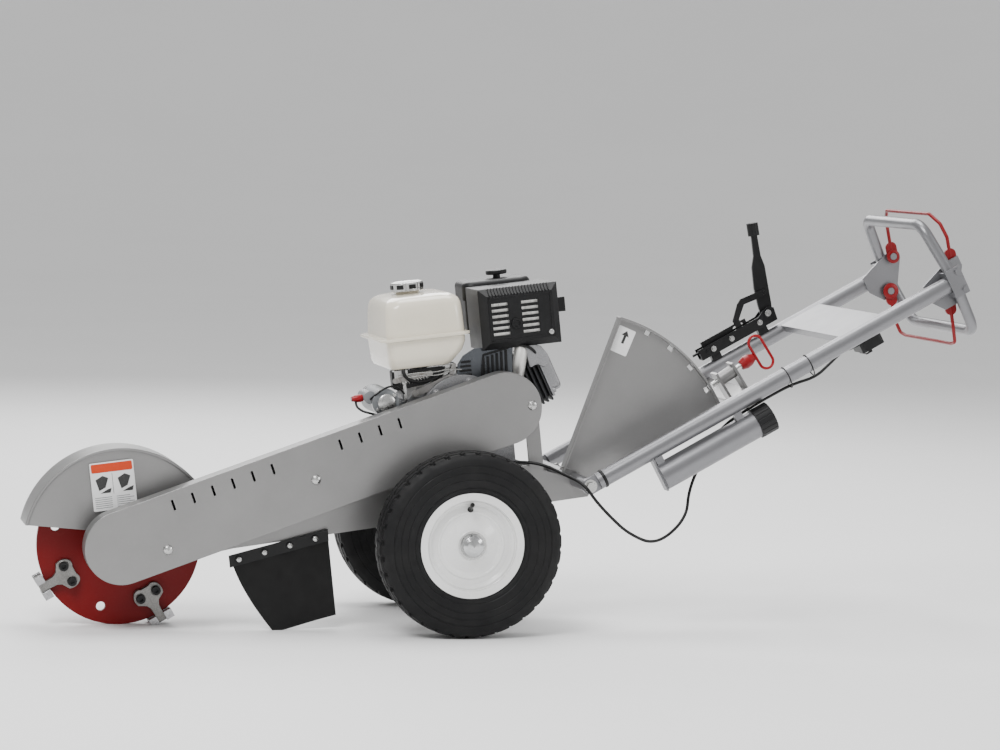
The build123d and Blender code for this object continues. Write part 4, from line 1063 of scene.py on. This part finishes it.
def make_hoses():
    """Fuel hose, leads and choke rod, with the carburettor and the spark plug's boot."""
    for name, radius, key, points in RUNS:
        curve_piece(name, [level(*p) for p in points], radius, key, "frame")

    def carburettor(bm):
        slab(bm, [(-46, 336), (-14, 340), (20, 352), (26, 371), (-50, 371)], -62, -44)
        turned(bm, [(0, -71), (11, -70.4), (13, -68), (13, -62)], (-22, 0, 354), steps=32)
        turned(bm, [(0, -67), (7, -66.6), (8, -65), (8, -62)], (8, 0, 360), steps=24)

    mesh_piece("carburettor_body", carburettor, "fins", "frame", bevel=1.5)

    def boot(bm):
        turned(bm, [(0, 384), (7, 383), (9, 378), (9, 362), (12, 358), (12, 352)],
               (236, -62, 0), "Z", 24)

    mesh_piece("spark_plug_boot", boot, "cable", "frame", smooth=60)


def make_terminal_boot():
    """Red cover over the starter's terminal."""
    seat = -164.4

    def boot(bm):
        turned(bm, [(0, seat - 25.8), (5.4, seat - 25), (6.6, seat - 20), (8.2, seat - 16),
                    (8.8, seat - 6), (7.4, seat - 0.2), (0, seat - 0.2)], (0, -52, 322), "X", 32)

    mesh_piece("starter_terminal_boot", boot, "red_plastic", "frame", smooth=60)


# ---- handle -------------------------------------------------------------------------------
RING_END = 939.6
CAM_INNER, CAM_OUTER, CAM_HOLE = 176.4, 179.9, 8.8
# body of each bail, with the spot of its pivot along and across the tubes and its cams' radius
BAILS = (("upper_bail", 976.0, 32.0, 16.0), ("lower_bail", 934.0, -38.0, 19.0))


def make_tube_details():
    """Pivot band and washers, cable ties, and the welds of the handle."""
    def band(bm):
        turned(bm, [(19.5, 30.5), (20.9, 31.3), (20.9, 36.7), (19.5, 37.5)], (0, -212, 0), "X", 48)

    mesh_piece("pivot_band_near", band, "cable", "handle", HANDLE, 50)
    for k, u in enumerate((508.0, 566.0)):
        loop = []
        for step in range(20):
            a = 2 * math.pi * step / 20
            loop.append(on_tube(u, -211 + 20.8 * math.cos(a) + (2 if math.sin(a) < 0 else 0),
                                -4.5 + 25.5 * math.sin(a)))
        curve_piece(f"cable_tie_{k}", loop, 1.3, "cable", "handle", closed=True)
    for name, side in SIDES:
        def washer(bm, side=side):
            low, high = side * 218, side * 219.2
            turned(bm, [(6.4, low), (15, low), (15, high), (6.4, high)], steps=32)

        mesh_piece(f"pivot_washer_{name}", washer, "zinc", "handle", HANDLE, 30, 0.3)
        inner = side * 193.6
        weld(f"cross_weld_{name}", on_tube(664, inner, 10.2), on_tube(766, inner, 10.2), "handle")
        weld(f"lock_weld_{name}", on_tube(403, inner, -14), on_tube(441, inner, -17), "handle")
        for edge, v in (("low", -13), ("high", 13)):
            weld(f"ring_weld_{name}_{edge}", on_tube(RING_END, side * 196, v),
                 on_tube(RING_END, side * 226, v), "handle", 2.0)
    for k, u in enumerate((164.0, 368.0)):
        weld(f"tube_weld_{k}", on_tube(u - 9, -206.6, -18.6), on_tube(u + 9, -206.6, -18.6),
             "handle", 1.8)


def make_bail_cams():
    """Red discs of the bails round their pivots."""
    for name, u, v, radius in BAILS:
        def cams(bm, u=u, v=v, radius=radius):
            for side in (-1, 1):
                turned(bm, [(CAM_HOLE, side * CAM_INNER), (radius - 1.2, side * CAM_INNER),
                            (radius, side * (CAM_INNER + 1)), (radius, side * CAM_OUTER),
                            (CAM_HOLE, side * CAM_OUTER), (CAM_HOLE, side * CAM_INNER)],
                       (u, 0, v), steps=40)

        mesh_piece(name + "_cams", cams, "bail", name, HANDLE, 40, 0.4)


def make_handle_fixings():
    """Bolts of the brake lever's base, the cable's gland and the control box's screws."""
    def lever_bolts(bm):
        for u, v in ((490, 45), (540, 45), (618, 46)):
            hex_head(bm, (u, 196, v), 5.2, 4)
        hex_head(bm, (645, 193.4, 57), 6.2, 4)

    mesh_piece("lever_base_bolts", lever_bolts, "zinc", "handle", HANDLE, 30)

    def gland(bm):
        turned(bm, [(4.2, 676), (6.5, 678), (8, 686), (8, 700), (0, 700)], (0, -160, -26), "X", 24)

    mesh_piece("cable_gland", gland, "cable", "handle", HANDLE, 50)

    def box_screws(bm):
        for u, y in ((710, -176), (740, -124)):
            turned(bm, [(0, -52.4), (3.4, -52.2), (4.2, -51), (4.2, -50)], (u, y, 0), "Z", 16)

    mesh_piece("control_box_screws", box_screws, "zinc", "handle", HANDLE, 30)


GUARD_POSTS = ((-548.0, 98.0), (-632.0, 104.0))
BEARING = (-724.4, 64.7)


def make_frame_details():
    """Welds and bolts on the frame."""
    for name, side in SIDES:
        y = side * 93.2
        weld(f"deck_weld_{name}", level(-205, y, 120.8), level(115, y, 120.8), "frame", 2.6)
        weld(f"bar_weld_{name}", level(-468, y, 102.5), level(-432, y, 102.5), "frame", 2.2)
        y = side * 108.5
        weld(f"hanger_weld_{name}", level(-60, y, 95), level(58, y, 95), "frame", 2.2)
        for k, (x, z) in enumerate(GUARD_POSTS):
            def collar(bm, x=x, z=z, side=side):
                turned(bm, [(9, side * 60), (11.4, side * 58.4), (12.6, side * 57)], (x, 0, z),
                       steps=32)

            mesh_piece(f"guard_post_weld_{name}_{k}", collar, "silver", "frame", smooth=60)
    weld("quadrant_weld", level(286, -76, 108.6), level(262, -79, 119), "frame", 2.4)

    def flap_bolts(bm):
        for x in FLAP_BOLTS:
            turned(bm, [(0, -117.6), (3.6, -117.2), (5.8, -115.4), (5.8, -114)],
                   (x, 0, flap_line(11.5, x)), steps=24)

    mesh_piece("flap_bolt_heads", flap_bolts, "zinc", "frame", smooth=40)

    def bearing_bolts(bm):
        for x, z in around(BEARING, 43, (45, 135, 225, 315)):
            for side in (-1, 1):
                hex_head(bm, (x, side * 86, z), 5, 4, side=-side)
            hex_head(bm, (x, 100, z), 6, 5, side=1)

    mesh_piece("bearing_bolts", bearing_bolts, "zinc", "frame", smooth=30)


make_studio()
make_cable()
for name, side in SIDES:
    make_wheel(name, side)
make_teeth()
make_flap()
make_guard_sticker()
make_quadrant_sticker()
make_fuel_cap()
make_tank()
make_hoses()
make_muffler_guard()
make_shroud()
make_governor()
make_engine_details()
make_terminal_boot()
make_tube_details()
make_bail_cams()
make_handle_fixings()
make_frame_details()
